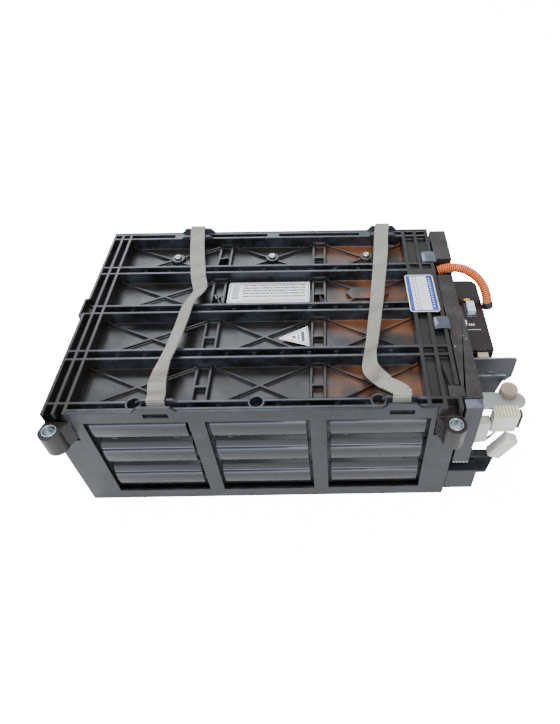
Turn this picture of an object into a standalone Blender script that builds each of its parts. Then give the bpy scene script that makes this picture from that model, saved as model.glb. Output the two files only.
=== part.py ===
"""Ribbed battery pack of a hybrid vehicle, as an assembly of separate named parts.

Metres, +Z up.  The origin is the centre of the case's underside.  +X points to the
electrical end, -Y to the louvred front, and the case stands on its flat base.
"""
import math

import bpy
import bmesh
from mathutils import Euler, Matrix, Vector

# ------------------------------------------------------------------ driving sizes
CASE_L = 0.420            # outer length of the ribbed case, along X
CASE_D = 0.304            # outer depth, along Y
CASE_H = 0.169            # height of the rims above the base
FIT = 0.0003              # gap that touching pieces keep
PANEL_T = 0.003           # wall of the four side panels
BASE_T = 0.004            # floor of the base tray

# top cover
COVER_T = 0.019           # whole thickness of the cover, floor and ribs together
FLOOR_T = 0.003           # floor of the recessed bays
WALL_T = 0.003            # walls of the bays and channels
ROWS = 4                  # bays along the depth
RIM_W = 0.0154            # front and back rim, from the panel's face to the bay
SEP_W = 0.0152            # double wall between two rows
COL_CENTRE = 0.003        # X of the middle column
COLUMNS = 3
COL_MARGIN = 0.051        # length of the case that the three column spacings leave over
COL_PAIR = 0.0145         # spacing of the two ribs between columns
COL_RIB_T = 0.003         # thickness of those ribs
COL_RIB_H = 0.0065        # height of those ribs above the bay floor
X_RIB_T = 0.0026          # crossed ribs on the bay floors
X_RIB_H = 0.0035
FLANGE_RIB_T = 0.0035     # long ribs of the two end flanges
FLANGE_PITCH = 0.0107     # spacing of the long ribs
RIGHT_RIB_T = 0.0045      # the right flange has thicker ribs, further apart
RIGHT_PITCH = 0.01555
LEFT_FLANGE_DEPTH = 0.0095     # depth of the channels between them
RIGHT_FLANGE_DEPTH = 0.0055
CORNER_DEPTH = 0.0135          # depth of their open front ends
CHANNEL_SHELF = 0.0055    # depth of the shelf that carries the small tabs
CHANNEL_DEPTH = 0.0135    # depth of the double walls' channels
TAB_PITCH = 0.031         # spacing of the small tabs in a channel
TAB_T = 0.0045            # width of one tab
SIDE_BOSS = (0.005, 0.030, 0.0015)    # left boss: how far it stands out, its length, its drop
POCKET_R = 0.0064         # round pockets in the front rim
POCKET_WALL = 0.0022
LAND_W = 0.016            # filled lands in the back rim
BOSS_R = 0.0085           # screw bosses in the back row
BOSS_H = 0.006
PLATFORM = (0.026, 0.010, 0.007, 0.0015)    # half length, half width, chamfer and rise above the ribs
DIVIDER_STEP = 0.45       # where the cross step stands, as a share of a bay's depth
SLOT_SKIN = 0.0004        # skin left under the slots between paired ribs

# front louvres
WINDOW_POST = 0.017       # width of the posts between windows
WINDOW_BOTTOM = 0.017
WINDOW_LAP = 0.002        # how far the windows reach above the cover's underside
VANES = 3                 # curved vanes in each window
VANE_PITCH = 0.047
VANE_BODY = 0.0285         # height of a vane's bulged body, below its groove
POST_W = 0.006            # upright posts behind the vanes
VANE_T = 0.0022           # wall of a vane
VANE_END_GAP = 0.0035     # dark gap at each end of a vane
VANE_SET = 0.0006         # how far the vanes sit behind the panel's face
POST_SET = 0.0066         # how far the posts sit behind the vanes' face
POST_T = 0.003
POST_TIE_H = 0.004        # height of the webs that join vanes to posts

# lifting straps
STRAP_W = 0.018
STRAP_T = 0.0016
STRAP_OFFSET = 0.023          # anchor slots, to the right of the outer columns
STRAP_CLEAR = 0.0006          # air under a strap that lies on the walls
HUMP_TOP_W = (0.033, 0.028)   # flat top of the hump over each slot
HUMP_SLOPE = 0.006            # run of the hump's sloping ends
HUMP_H = 0.0065               # rise of the humps above the rim
SLOT_W = 0.025
SLOT_H = 0.0065
SLOT_DROP = 0.0095            # from the rim down to the slot's lower edge

# mounting lugs
LUG_IN = 0.0075           # lug axis, in from each end of the case
LUG_Y_OUT = 0.010         # lug axis in front of the case's face
LUG_R = 0.0115
LUG_DROP = 0.014          # from the rim down to the lug's top
LUG_H = 0.028
BUSH_R = 0.0076           # steel bush pressed into the lug
BUSH_BORE_R = 0.0058
BUSH_PROUD = 0.0008

# cell modules
LAYERS = 3
MODULE_END_ROOM = 0.040   # length of the case that a module leaves for its studs and links
MODULE_AIR = 0.0101       # air gap between two rows of modules
MODULE_HEAD_ROOM = 0.008  # room between the top layer and the cover
MODULE_ROUND = 0.005
STUD_R = 0.0055           # terminal stud at each end of a module
STUD_L = 0.006
LINK_T = 0.0025
LINK_W = 0.018

# electrical end
HOUSING_W = 0.0255        # terminal housing outside the right end panel
HOUSING_BOTTOM = 0.051
HOUSING_FRONT_IN = 0.015  # its ends, in from the case's front and back
HOUSING_BACK_IN = 0.005
HOUSING_WALL = 0.003
STRIP_T = 0.015           # dark cover strip on top of the housing
STRIP_BACK_SHARE = 0.411  # places along the end, as shares of half the case's depth
STRIP_STEP_SHARE = 0.007
BLOCK_FRONT_SHARE = 0.566
CLIP_SHARES = (0.594, -0.204)
CLIP_FRONT_IN = 0.008     # the front snap tongue, in from the housing's front
JBOX_SHARES = (-0.309, 0.507)
PLUG_SHARE = 0.132
PLATE_SHARES = (-0.398, -0.566)
DISC_SHARE = -0.7395
CLIP_W = 0.014
CLIP_REACH = 0.012
CLIP_T = 0.005
CLIP_DROP = 0.001         # from the rim down to a snap tongue
JBOX_W = 0.031            # junction box, along X
JBOX_DROP = 0.010         # from the housing's top down to the box's lid
JBOX_H = 0.065
JBOX_WALL = 0.0025
JBOX_ROUND = 0.010
LID_T = 0.004
PLUG_SIZE = (0.0095, 0.018, 0.020)    # signal plug that lifts out of the junction box
PLUG_SOCKET = 0.012                   # how deep it sits
PLUG_OUT = 0.0144                     # plug axis, out from the housing
SOCKET_WALL = 0.0018
PLUG_CLEAR = 0.0004
CONDUIT_R = 0.0058
CUFF_R = 0.0068
CUFF_L = 0.008
CLAMP_T = 0.0025          # strap-like clamp under the conduit
CLAMP_W = 0.0065
PLATE_T = 0.0025
DISC_T = 0.003
DISC_DROP = 0.020         # from the housing's top down to the terminal plate
DISC_W = 0.022
DISC_REACH = 0.0537
LOBE_R = 0.0100           # round lobe of the plate, under the cap
CAP_R = 0.0098
CAP_H = 0.0070
CAP_X_IN = 0.0171         # cap axis, in from the plate's round end
CAP_Y_IN = 0.0105         # and back from the plate's middle
CAP_WALL = 0.002
CAP_STUD_R = 0.0045
CAP_CLEAR = 0.0005

LEAD_R = 0.0019
LOWER_TILT = math.radians(26.0)    # lean of the lower connector
LOWER_OUT = 0.0350         # its middle, out from the housing
LOWER_SIZE = (0.017, 0.013, 0.036)
LOWER_SHARE = 0.335        # its middle, from the shelf up to the terminal plate
UPPER_X = (0.0145, 0.0420)         # the upper connector, out from the housing
UPPER_Z = (-0.0260, 0.0045)        # and about the terminal plate
GRIP_RIBS = 6
GRIP_RIB_H = 0.0020
MIDDLE_W = 0.0140
MIDDLE_Z = (-0.0460, -0.0120)
CONNECTOR_D = 0.013

# front corner of the electrical end
BRACKET_X = (0.0022, 0.0205)
BRACKET_D = 0.012
BRACKET_BOTTOM = 0.066
BRACKET_WALL = 0.003
TRAY_X = 0.0342
TRAY_D = 0.070
TRAY_Z = (0.010, 0.0485)
SHELF_T = 0.0037
SHELF_DROP = 0.0045       # from the tray down to the shelf
CORNER_SET = 0.001        # these pieces, behind the case's face

# screws
SCREW_HEAD_R = 0.0045
SCREW_HEAD_H = 0.0028
SCREW_L = 0.010
SHANK_R = 0.0022
SOCKET_R = 0.0021
SOCKET_D = 0.0016

ARC_STEPS = 10

# ------------------------------------------------------------------ worked-out places
HALF_L = CASE_L / 2
HALF_D = CASE_D / 2
COVER_BOTTOM = CASE_H - COVER_T
BAY_FLOOR = COVER_BOTTOM + FLOOR_T
COVER_Y = HALF_D - PANEL_T - FIT
BAY_D = (CASE_D - 2 * RIM_W - (ROWS - 1) * SEP_W) / ROWS
ROW_Y0 = [-HALF_D + RIM_W + i * (BAY_D + SEP_W) for i in range(ROWS)]
COL_PITCH = (CASE_L - COL_MARGIN) / COLUMNS
WINDOW_W = COL_PITCH - WINDOW_POST
WINDOW_TOP = COVER_BOTTOM + WINDOW_LAP
LEFT_RIBS = [-HALF_L + FLANGE_RIB_T / 2 + i * FLANGE_PITCH for i in range(3)]
RIGHT_RIBS = [HALF_L - RIGHT_RIB_T / 2 - i * RIGHT_PITCH for i in range(3)]
BAY_X0 = LEFT_RIBS[-1] + FLANGE_RIB_T / 2
BAY_X1 = RIGHT_RIBS[-1] - RIGHT_RIB_T / 2
COLUMN_X = [COL_CENTRE + i * COL_PITCH for i in (-1, 0, 1)]
DIVIDER_X = [COL_CENTRE + i * COL_PITCH / 2 for i in (-1, 1)]
STRAP_X = (COLUMN_X[0] + STRAP_OFFSET, COLUMN_X[-1] + STRAP_OFFSET)
LUG_X = HALF_L - LUG_IN
LUG_TOP = CASE_H - LUG_DROP
MODULE_L = CASE_L - MODULE_END_ROOM
MODULE_W = BAY_D + SEP_W - MODULE_AIR
MODULE_H = (COVER_BOTTOM - BASE_T - MODULE_HEAD_ROOM) / LAYERS - FIT
LUG_Y = -HALF_D - LUG_Y_OUT
CORNER_X = HALF_L - FLANGE_RIB_T - 2 * FLANGE_PITCH    # inner side of the front corners
HOUSING_X0 = HALF_L + FIT
HOUSING_X1 = HOUSING_X0 + HOUSING_W
HOUSING_TOP = COVER_BOTTOM
HOUSING_FRONT = -HALF_D + HOUSING_FRONT_IN
HOUSING_BACK = HALF_D - HOUSING_BACK_IN
FACE_X = HOUSING_X1 + FIT      # where the electrical parts seat on the housing
STRIP_Z0 = HOUSING_TOP + FIT
STRIP_BACK = STRIP_BACK_SHARE * HALF_D
STRIP_STEP = STRIP_STEP_SHARE * HALF_D
BLOCK_FRONT = BLOCK_FRONT_SHARE * HALF_D
CLIP_Y = [*(share * HALF_D for share in CLIP_SHARES), HOUSING_FRONT + CLIP_FRONT_IN]
CLIP_Z0 = CASE_H - CLIP_T - CLIP_DROP
JBOX_FRONT, JBOX_BACK = (share * HALF_D for share in JBOX_SHARES)
JBOX_TOP = HOUSING_TOP - JBOX_DROP
JBOX_BOTTOM = JBOX_TOP - JBOX_H
PLUG_XY = (FACE_X + PLUG_OUT, PLUG_SHARE * HALF_D)
PLATE_Y = [share * HALF_D for share in PLATE_SHARES]
DISC_TOP = HOUSING_TOP - DISC_DROP
DISC_Y = DISC_SHARE * HALF_D
CAP_XY = (FACE_X + DISC_REACH - CAP_X_IN, DISC_Y + CAP_Y_IN)
CORNER_Y = -HALF_D + CORNER_SET
SHELF_TOP = TRAY_Z[1] - SHELF_DROP
OVER = 0.001                   # how far joined or cutting shapes reach past a face


# ------------------------------------------------------------------ helpers
def start():
    """Empty the scene and make the two collections."""
    for old in list(bpy.data.objects):
        bpy.data.objects.remove(old, do_unlink=True)
    made = []
    for name in ("battery_pack", "cutters"):
        group = bpy.data.collections.new(name)
        bpy.context.scene.collection.children.link(group)
        made.append(group)
    return made


PARTS, CUTTERS = start()
MATERIALS = {}


def material(name, colour, roughness, metallic=0.0):
    """A Principled material, made once and shared by the parts that use it."""
    if name not in MATERIALS:
        made = bpy.data.materials.new(name)
        made.use_nodes = True
        shader = made.node_tree.nodes["Principled BSDF"]
        shader.inputs["Base Color"].default_value = (*colour, 1.0)
        shader.inputs["Roughness"].default_value = roughness
        shader.inputs["Metallic"].default_value = metallic
        MATERIALS[name] = made
    return MATERIALS[name]


CASE_BLACK = ("case_black", (0.018, 0.019, 0.022), 0.38)
VANE_BLACK = ("vane_black", (0.030, 0.033, 0.042), 0.34)
STRIP_BROWN = ("strip_brown_black", (0.022, 0.018, 0.016), 0.55)
BOX_MAROON = ("box_maroon_black", (0.020, 0.012, 0.013), 0.30)
BRACKET_GREY = ("bracket_grey", (0.19, 0.20, 0.25), 0.45)
PLATE_GREY = ("plate_grey", (0.085, 0.088, 0.105), 0.50)
STEEL = ("zinc_steel", (0.62, 0.66, 0.70), 0.30, 1.0)
ALLOY = ("light_alloy", (0.55, 0.58, 0.56), 0.40, 1.0)
COPPER = ("nickel_copper", (0.70, 0.62, 0.50), 0.35, 1.0)
CELL = ("module_blue_grey", (0.10, 0.12, 0.16), 0.50)
WEBBING = ("webbing_grey", (0.52, 0.50, 0.46), 0.90)
ORANGE = ("conduit_orange", (0.90, 0.22, 0.05), 0.50)
RUBBER = ("cuff_black", (0.012, 0.012, 0.014), 0.70)
IVORY = ("connector_ivory", (0.74, 0.74, 0.68), 0.45)
PALE_BLUE = ("plug_pale_blue", (0.55, 0.72, 0.82), 0.45)
CAP_BROWN = ("cap_brown", (0.35, 0.27, 0.20), 0.50)


def place(mesh, name, finish):
    """Link a mesh as a part with its material."""
    made = bpy.data.objects.new(name, mesh)
    PARTS.objects.link(made)
    mesh.materials.clear()
    mesh.materials.append(material(*finish))
    return made


def guide(mesh, name):
    """Link a mesh as a cutter or a joining guide."""
    made = bpy.data.objects.new(name, mesh)
    CUTTERS.objects.link(made)
    made.hide_render = True
    made.display_type = "WIRE"
    return made


def box_mesh(boxes):
    """One mesh of boxes, each given by its lowest and highest corner."""
    bm = bmesh.new()
    for low, high in boxes:
        low = Vector(low)
        high = Vector(high)
        size = high - low
        matrix = Matrix.Translation((low + high) / 2) @ Matrix.Diagonal((*size, 1.0))
        bmesh.ops.create_cube(bm, size=1.0, matrix=matrix)
    mesh = bpy.data.meshes.new("boxes")
    bm.to_mesh(mesh)
    bm.free()
    return mesh


def box(name, low, high, finish):
    return place(box_mesh([(low, high)]), name, finish)


def drum_mesh(drums, segments=24):
    """One mesh of upright cylinders, each (x, y, radius, z_low, z_high)."""
    bm = bmesh.new()
    for x, y, radius, low, high in drums:
        matrix = Matrix.Translation((x, y, (low + high) / 2))
        bmesh.ops.create_cone(bm, cap_ends=True, segments=segments, radius1=radius,
                              radius2=radius, depth=high - low, matrix=matrix)
    mesh = bpy.data.meshes.new("drums")
    bm.to_mesh(mesh)
    bm.free()
    return mesh


def solid_from(source, matrix=Matrix.Identity(4)):
    """The evaluated mesh of a curve, its caps welded, moved by a matrix."""
    graph = bpy.context.evaluated_depsgraph_get()
    mesh = bpy.data.meshes.new_from_object(source.evaluated_get(graph))
    bm = bmesh.new()
    bm.from_mesh(mesh)
    bmesh.ops.remove_doubles(bm, verts=bm.verts, dist=0.00001)
    bmesh.ops.transform(bm, matrix=matrix, verts=bm.verts)
    bmesh.ops.recalc_face_normals(bm, faces=bm.faces)
    bm.to_mesh(mesh)
    bm.free()
    bpy.data.objects.remove(source, do_unlink=True)
    return mesh


def outline_mesh(outline, low, high, up="Z"):
    """A flat outline extruded from low to high along Z, Y or X.

    Along Y the outline is (x, z), and along X it is (y, z).
    """
    curve = bpy.data.curves.new("outline", "CURVE")
    curve.dimensions = "2D"
    curve.fill_mode = "BOTH"
    curve.extrude = (high - low) / 2
    spline = curve.splines.new("POLY")
    spline.points.add(len(outline) - 1)
    for point, (across, along) in zip(spline.points, outline):
        point.co = (across, along, 0.0, 1.0)
    spline.use_cyclic_u = True
    source = bpy.data.objects.new("outline", curve)
    bpy.context.scene.collection.objects.link(source)
    middle = (low + high) / 2
    turn = {
        "Z": Matrix.Translation((0, 0, middle)),
        "Y": Matrix.Translation((0, middle, 0)) @ Matrix.Rotation(math.pi / 2, 4, "X"),
        "X": Matrix.Translation((middle, 0, 0)) @ Matrix.Rotation(math.pi / 2, 4, "Z")
        @ Matrix.Rotation(math.pi / 2, 4, "X"),
    }
    return solid_from(source, turn[up])


def joined(meshes):
    """Several meshes as one, for pieces that don't touch each other."""
    bm = bmesh.new()
    for mesh in meshes:
        bm.from_mesh(mesh)
    made = bpy.data.meshes.new("joined")
    bm.to_mesh(made)
    bm.free()
    return made


def boolean(target, mesh, operation, label):
    tool = guide(mesh, f"{target.name}_{label}")
    step = target.modifiers.new(label, "BOOLEAN")
    step.operation = operation
    step.solver = "EXACT"
    step.object = tool
    return target


def cut(target, mesh, label):
    return boolean(target, mesh, "DIFFERENCE", label)


def fuse(target, mesh, label):
    return boolean(target, mesh, "UNION", label)


def bevel(target, width, segments=1, angle=50.0):
    step = target.modifiers.new("bevel", "BEVEL")
    step.width = width
    step.segments = segments
    step.limit_method = "ANGLE"
    step.angle_limit = math.radians(angle)
    return target


def tube_mesh(points, radius, resolution=3):
    """A round tube with closed ends along a smooth curve through the points."""
    curve = bpy.data.curves.new("tube", "CURVE")
    curve.dimensions = "3D"
    curve.bevel_depth = radius
    curve.bevel_resolution = resolution
    curve.use_fill_caps = True
    spline = curve.splines.new("POLY")
    smooth = smooth_line(points)
    spline.points.add(len(smooth) - 1)
    for point, spot in zip(spline.points, smooth):
        point.co = (*spot, 1.0)
    source = bpy.data.objects.new("tube", curve)
    bpy.context.scene.collection.objects.link(source)
    return solid_from(source)


def smooth_line(points, steps=4):
    """Points of a Catmull-Rom curve through the given points."""
    held = [Vector(p) for p in points]
    held = [2 * held[0] - held[1], *held, 2 * held[-1] - held[-2]]
    made = []
    for i in range(1, len(held) - 2):
        a, b, c, d = held[i - 1:i + 3]
        for k in range(steps):
            t = k / steps
            made.append(0.5 * (2 * b + (c - a) * t + (2 * a - 5 * b + 4 * c - d) * t * t
                               + (3 * b - a - 3 * c + d) * t * t * t))
    made.append(held[-2])
    return made


def arc(centre, radius, start, end, steps=ARC_STEPS):
    """Points of an arc, angles in degrees."""
    made = []
    for i in range(steps + 1):
        angle = math.radians(start + (end - start) * i / steps)
        made.append((centre[0] + radius * math.cos(angle), centre[1] + radius * math.sin(angle)))
    return made


# ------------------------------------------------------------------ top cover
def channel_cells(x0, x1):
    """X ranges between the tabs of a channel."""
    count = max(2, round((x1 - x0) / TAB_PITCH))
    step = (x1 - x0) / count
    cells = []
    for i in range(count):
        low = x0 + i * step + (TAB_T / 2 if i else 0.0)
        high = x0 + (i + 1) * step - (TAB_T / 2 if i < count - 1 else 0.0)
        cells.append((low, high))
    return cells


def y_bands():
    """Y ranges of the rows' bays and of the channels, from front to back."""
    rows = [(y, y + BAY_D) for y in ROW_Y0]
    front = (-COVER_Y + WALL_T, ROW_Y0[0] - WALL_T)
    back = (ROW_Y0[-1] + BAY_D + WALL_T, COVER_Y - WALL_T)
    seps = [(y + BAY_D + WALL_T, y + BAY_D + SEP_W - WALL_T) for y in ROW_Y0[:-1]]
    return rows, [front, *seps, back]


def label_land():
    """Y range of the flat land that carries the specification label."""
    rows, channels = y_bands()
    return channels[2][0], rows[2][1]


def flange_pockets():
    """Pockets of both end flanges: every channel crossed by every wall."""
    rows, channels = y_bands()
    bands = sorted(rows + channels)
    land_low, land_high = label_land()
    pockets = []
    for ribs, side, rib_t, inner_depth in ((LEFT_RIBS, -1, FLANGE_RIB_T, LEFT_FLANGE_DEPTH),
                                           (RIGHT_RIBS, 1, RIGHT_RIB_T, RIGHT_FLANGE_DEPTH)):
        for first, second in zip(ribs, ribs[1:]):
            low = min(first, second) + rib_t / 2
            high = max(first, second) - rib_t / 2
            for y0, y1 in bands:
                on_land = side > 0 and y0 >= land_low - OVER and y1 <= land_high + OVER
                if on_land:
                    continue
                open_front = (y0, y1) == bands[0] and abs((low + high) / 2) > CORNER_X
                front = -HALF_D - OVER if open_front else y0
                depth = CORNER_DEPTH if (y0, y1) == bands[0] else inner_depth
                top = CASE_H + OVER
                pockets.append(((low, front, CASE_H - depth), (high, y1, top)))
    return pockets


def cover_pockets():
    """Bays, flange pockets and the shelf of every channel."""
    rows, channels = y_bands()
    top = CASE_H + OVER
    pockets = flange_pockets()
    for y0, y1 in rows:
        pockets.append(((BAY_X0, y0, BAY_FLOOR), (BAY_X1, y1, top)))
    for y0, y1 in channels[:-1]:
        pockets.append(((BAY_X0, y0, CASE_H - CHANNEL_SHELF), (BAY_X1, y1, top)))
    for x0, x1 in back_rim_runs():
        y0, y1 = channels[-1]
        pockets.append(((x0, y0, CASE_H - CHANNEL_SHELF), (x1, y1, top)))
    return pockets


def back_rim_runs():
    """X ranges of the back rim's channel, between its filled lands."""
    edges = [BAY_X0]
    for x in COLUMN_X:
        edges += [x - LAND_W / 2, x + LAND_W / 2]
    edges.append(BAY_X1)
    return list(zip(edges[0::2], edges[1::2]))


def deep_cells():
    """The deep part of each channel, between its tabs."""
    _, channels = y_bands()
    cells = []
    floor = CASE_H - CHANNEL_DEPTH
    shelf = CASE_H - CHANNEL_SHELF + OVER
    for y0, y1 in channels[:-1]:
        for low, high in channel_cells(BAY_X0, BAY_X1):
            cells.append(((low, y0, floor), (high, y1, shelf)))
    y0, y1 = channels[-1]
    for start_x, end_x in back_rim_runs():
        for low, high in channel_cells(start_x, end_x):
            cells.append(((low, y0, floor), (high, y1, shelf)))
    return cells


def divider_blocks():
    """The paired ribs between columns, as blocks that are hollowed next."""
    rows, _ = y_bands()
    half = (COL_PAIR + COL_RIB_T) / 2
    blocks = []
    for x in DIVIDER_X:
        for y0, y1 in rows:
            blocks.append(((x - half, y0 - OVER, BAY_FLOOR - OVER),
                           (x + half, y1 + OVER, BAY_FLOOR + COL_RIB_H)))
    return blocks


def divider_hollows():
    """The slots between each pair of ribs, in front of and behind the cross step."""
    rows, _ = y_bands()
    half = (COL_PAIR - COL_RIB_T) / 2
    hollows = []
    for x in DIVIDER_X:
        for y0, y1 in rows:
            step = y0 + DIVIDER_STEP * BAY_D
            half_wall = WALL_T / 2
            for low, high in ((y0 + half_wall, step - half_wall), (step + half_wall, y1 - half_wall)):
                hollows.append(((x - half, low, BAY_FLOOR + SLOT_SKIN),
                                (x + half, high, BAY_FLOOR + COL_RIB_H + OVER)))
    return hollows


def bay_columns():
    """X ranges of the three bays in a row."""
    half = (COL_PAIR + COL_RIB_T) / 2
    edges = [BAY_X0, DIVIDER_X[0] - half, DIVIDER_X[0] + half,
             DIVIDER_X[1] - half, DIVIDER_X[1] + half, BAY_X1]
    return list(zip(edges[0::2], edges[1::2]))


def diagonal_mesh(sign):
    """One diagonal rib in every bay, from corner to corner."""
    rows, _ = y_bands()
    bm = bmesh.new()
    for x0, x1 in bay_columns():
        for y0, y1 in rows:
            width = x1 - x0
            depth = y1 - y0
            length = math.hypot(width, depth) - X_RIB_T
            angle = sign * math.atan2(depth, width)
            middle = Vector(((x0 + x1) / 2, (y0 + y1) / 2, BAY_FLOOR + (X_RIB_H - OVER) / 2))
            matrix = (Matrix.Translation(middle) @ Matrix.Rotation(angle, 4, "Z")
                      @ Matrix.Diagonal((length, X_RIB_T, X_RIB_H + OVER, 1.0)))
            bmesh.ops.create_cube(bm, size=1.0, matrix=matrix)
    mesh = bpy.data.meshes.new("diagonals")
    bm.to_mesh(mesh)
    bm.free()
    return mesh


def platform_mesh():
    """The long hexagonal platform where the ribs cross, in the right bay of row three."""
    rows, _ = y_bands()
    x0, x1 = bay_columns()[2]
    y0, y1 = rows[2]
    cx = (x0 + x1) / 2
    cy = (y0 + y1) / 2
    half_w, half_d, chamfer, rise = PLATFORM
    outline = [(cx - half_w, cy), (cx - half_w + chamfer, cy - half_d),
               (cx + half_w - chamfer, cy - half_d), (cx + half_w, cy),
               (cx + half_w - chamfer, cy + half_d), (cx - half_w + chamfer, cy + half_d)]
    return outline_mesh(outline, BAY_FLOOR - OVER, BAY_FLOOR + X_RIB_H + rise)


def screw_y():
    rows, _ = y_bands()
    return (rows[-1][0] + rows[-1][1]) / 2


def hump_outline(x, top_w, base, height):
    """A hump with sloping ends, as points from left to right."""
    return [(x - top_w / 2 - HUMP_SLOPE, base), (x - top_w / 2, base + height),
            (x + top_w / 2, base + height), (x + top_w / 2 + HUMP_SLOPE, base)]


def inner_humps():
    """The low humps on the inner wall of both rims, beside each strap."""
    humps = []
    walls = ((ROW_Y0[0] - WALL_T, ROW_Y0[0]),
             (ROW_Y0[-1] + BAY_D, ROW_Y0[-1] + BAY_D + WALL_T))
    for x, top_w in zip(STRAP_X, HUMP_TOP_W):
        for y0, y1 in walls:
            outline = hump_outline(x, top_w, CASE_H - OVER, OVER + HUMP_H / 2)
            humps.append(outline_mesh(outline, y0, y1, "Y"))
    return joined(humps)


def lug_mesh(side):
    """A round lug that tapers back to the case, extruded upright."""
    x = side * LUG_X
    back = -HALF_D + PANEL_T - FIT
    face = -HALF_D + FIT
    outline = arc((x, LUG_Y), LUG_R, 180, 360, 2 * ARC_STEPS)
    left, right = sorted((side * (CORNER_X + FIT), side * HALF_L))
    outline += [(right, face), (right, back), (left, back), (left, face)]
    return outline_mesh(outline, LUG_TOP - LUG_H, LUG_TOP)


def top_cover():
    cover = box("top_cover", (-HALF_L, -COVER_Y, COVER_BOTTOM), (HALF_L, COVER_Y, CASE_H), CASE_BLACK)
    tongues = []
    for x0, x1 in ((-HALF_L, -CORNER_X), (CORNER_X, HALF_L)):
        tongues.append(((x0, -HALF_D, COVER_BOTTOM), (x1, -COVER_Y + OVER, CASE_H)))
    fuse(cover, box_mesh(tongues), "corner_tongues")
    _, channels = y_bands()
    boss_y = (channels[2][0] + channels[2][1]) / 2
    boss_out, boss_l, boss_drop = SIDE_BOSS
    boss_low = (-HALF_L - boss_out, boss_y - 0.27 * boss_l, COVER_BOTTOM + WALL_T)
    boss_high = (-HALF_L + FLANGE_PITCH, boss_y + 0.73 * boss_l, CASE_H - boss_drop)
    fuse(cover, box_mesh([(boss_low, boss_high)]), "side_boss")
    cut(cover, box_mesh(cover_pockets()), "pockets")
    cut(cover, box_mesh(deep_cells()), "channels")
    boss_cut_low = Vector(boss_low) + Vector((WALL_T, WALL_T, 2 * WALL_T))
    boss_cut_high = Vector((boss_high[0] - boss_drop, boss_high[1] - WALL_T, CASE_H + OVER))
    cut(cover, box_mesh([(boss_cut_low, boss_cut_high)]), "boss_pocket")
    y0, y1 = channels[0]
    well = STRAP_W / 2 + 2 * OVER
    wells = [((x - well, y0, CASE_H - CHANNEL_DEPTH), (x + well, y1, CASE_H + OVER)) for x in STRAP_X]
    cut(cover, box_mesh(wells), "strap_wells")
    slots = strap_slots(-COVER_Y - OVER, -COVER_Y + WALL_T + OVER)
    slots += strap_slots(COVER_Y - WALL_T - OVER, COVER_Y + OVER)
    cut(cover, box_mesh(slots), "strap_slots")
    fuse(cover, box_mesh(divider_blocks()), "dividers")
    cut(cover, box_mesh(divider_hollows()), "divider_slots")
    fuse(cover, diagonal_mesh(1), "diagonals_up")
    fuse(cover, diagonal_mesh(-1), "diagonals_down")
    fuse(cover, platform_mesh(), "platform")
    ring_r = POCKET_R + POCKET_WALL
    ring_y = -COVER_Y + ring_r + FIT
    rings = [(x, ring_y, ring_r, COVER_BOTTOM + OVER, CASE_H - FIT) for x in COLUMN_X]
    bosses = [(x, screw_y(), BOSS_R, BAY_FLOOR - OVER, BAY_FLOOR + BOSS_H) for x in COLUMN_X]
    fuse(cover, drum_mesh(rings + bosses), "round_bosses")
    holes = [(x, ring_y, POCKET_R, CASE_H - CHANNEL_DEPTH, CASE_H + OVER) for x in COLUMN_X]
    threads = [(x, screw_y(), SHANK_R + FIT, COVER_BOTTOM - OVER, CASE_H) for x in COLUMN_X]
    cut(cover, drum_mesh(holes + threads), "round_holes")
    fuse(cover, inner_humps(), "inner_humps")
    fuse(cover, joined([lug_mesh(-1), lug_mesh(1)]), "lugs")
    bores = [(s * LUG_X, LUG_Y, BUSH_R + FIT, LUG_TOP - LUG_H - OVER, CASE_H) for s in (-1, 1)]
    cut(cover, drum_mesh(bores), "lug_bores")
    clips = []
    for y in CLIP_Y:
        clips.append(((HALF_L - CLIP_REACH - FIT, y - CLIP_W / 2 - FIT, CLIP_Z0 - FIT),
                      (HALF_L + OVER, y + CLIP_W / 2 + FIT, CASE_H + OVER)))
    cut(cover, box_mesh(clips), "clip_seats")
    return cover


def turned(name, profile, finish, segments=24):
    """A turned piece: a profile of (radius, z), from the top down, spun about its axis."""
    mesh = bpy.data.meshes.new(name)
    bm = bmesh.new()
    points = [bm.verts.new((radius, 0.0, z)) for radius, z in profile]
    for first, second in zip(points, points[1:]):
        bm.edges.new((first, second))
    bm.to_mesh(mesh)
    bm.free()
    made = place(mesh, name, finish)
    spin = made.modifiers.new("spin", "SCREW")
    spin.steps = segments
    spin.render_steps = segments
    spin.use_merge_vertices = True
    spin.merge_threshold = 0.00001
    return made


def cover_screws():
    seat = BAY_FLOOR + BOSS_H + FIT
    top = seat + SCREW_HEAD_H
    for i, x in enumerate(COLUMN_X):
        profile = [(0.0, top - SOCKET_D), (SOCKET_R, top - SOCKET_D), (SOCKET_R, top),
                   (SCREW_HEAD_R - 0.0008, top), (SCREW_HEAD_R, top - 0.0008), (SCREW_HEAD_R, seat),
                   (SHANK_R, seat), (SHANK_R, seat - SCREW_L), (0.0, seat - SCREW_L)]
        screw = turned(f"cover_screw_{i + 1}", profile, STEEL, 20)
        screw.location = (x, screw_y(), 0.0)


def lug_bushes():
    for name, side in (("left", -1), ("right", 1)):
        top = LUG_TOP + BUSH_PROUD
        low = LUG_TOP - LUG_H - BUSH_PROUD
        profile = [(BUSH_BORE_R, top), (BUSH_R, top), (BUSH_R, low), (BUSH_BORE_R, low),
                   (BUSH_BORE_R, top)]
        bush = turned(f"{name}_lug_bush", profile, STEEL)
        bush.location = (side * LUG_X, LUG_Y, 0.0)


# ------------------------------------------------------------------ base and side panels
def base_tray():
    half_x = HALF_L - PANEL_T - FIT
    half_y = HALF_D - PANEL_T - FIT
    return box("base_tray", (-half_x, -half_y, 0.0), (half_x, half_y, BASE_T), CASE_BLACK)


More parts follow.
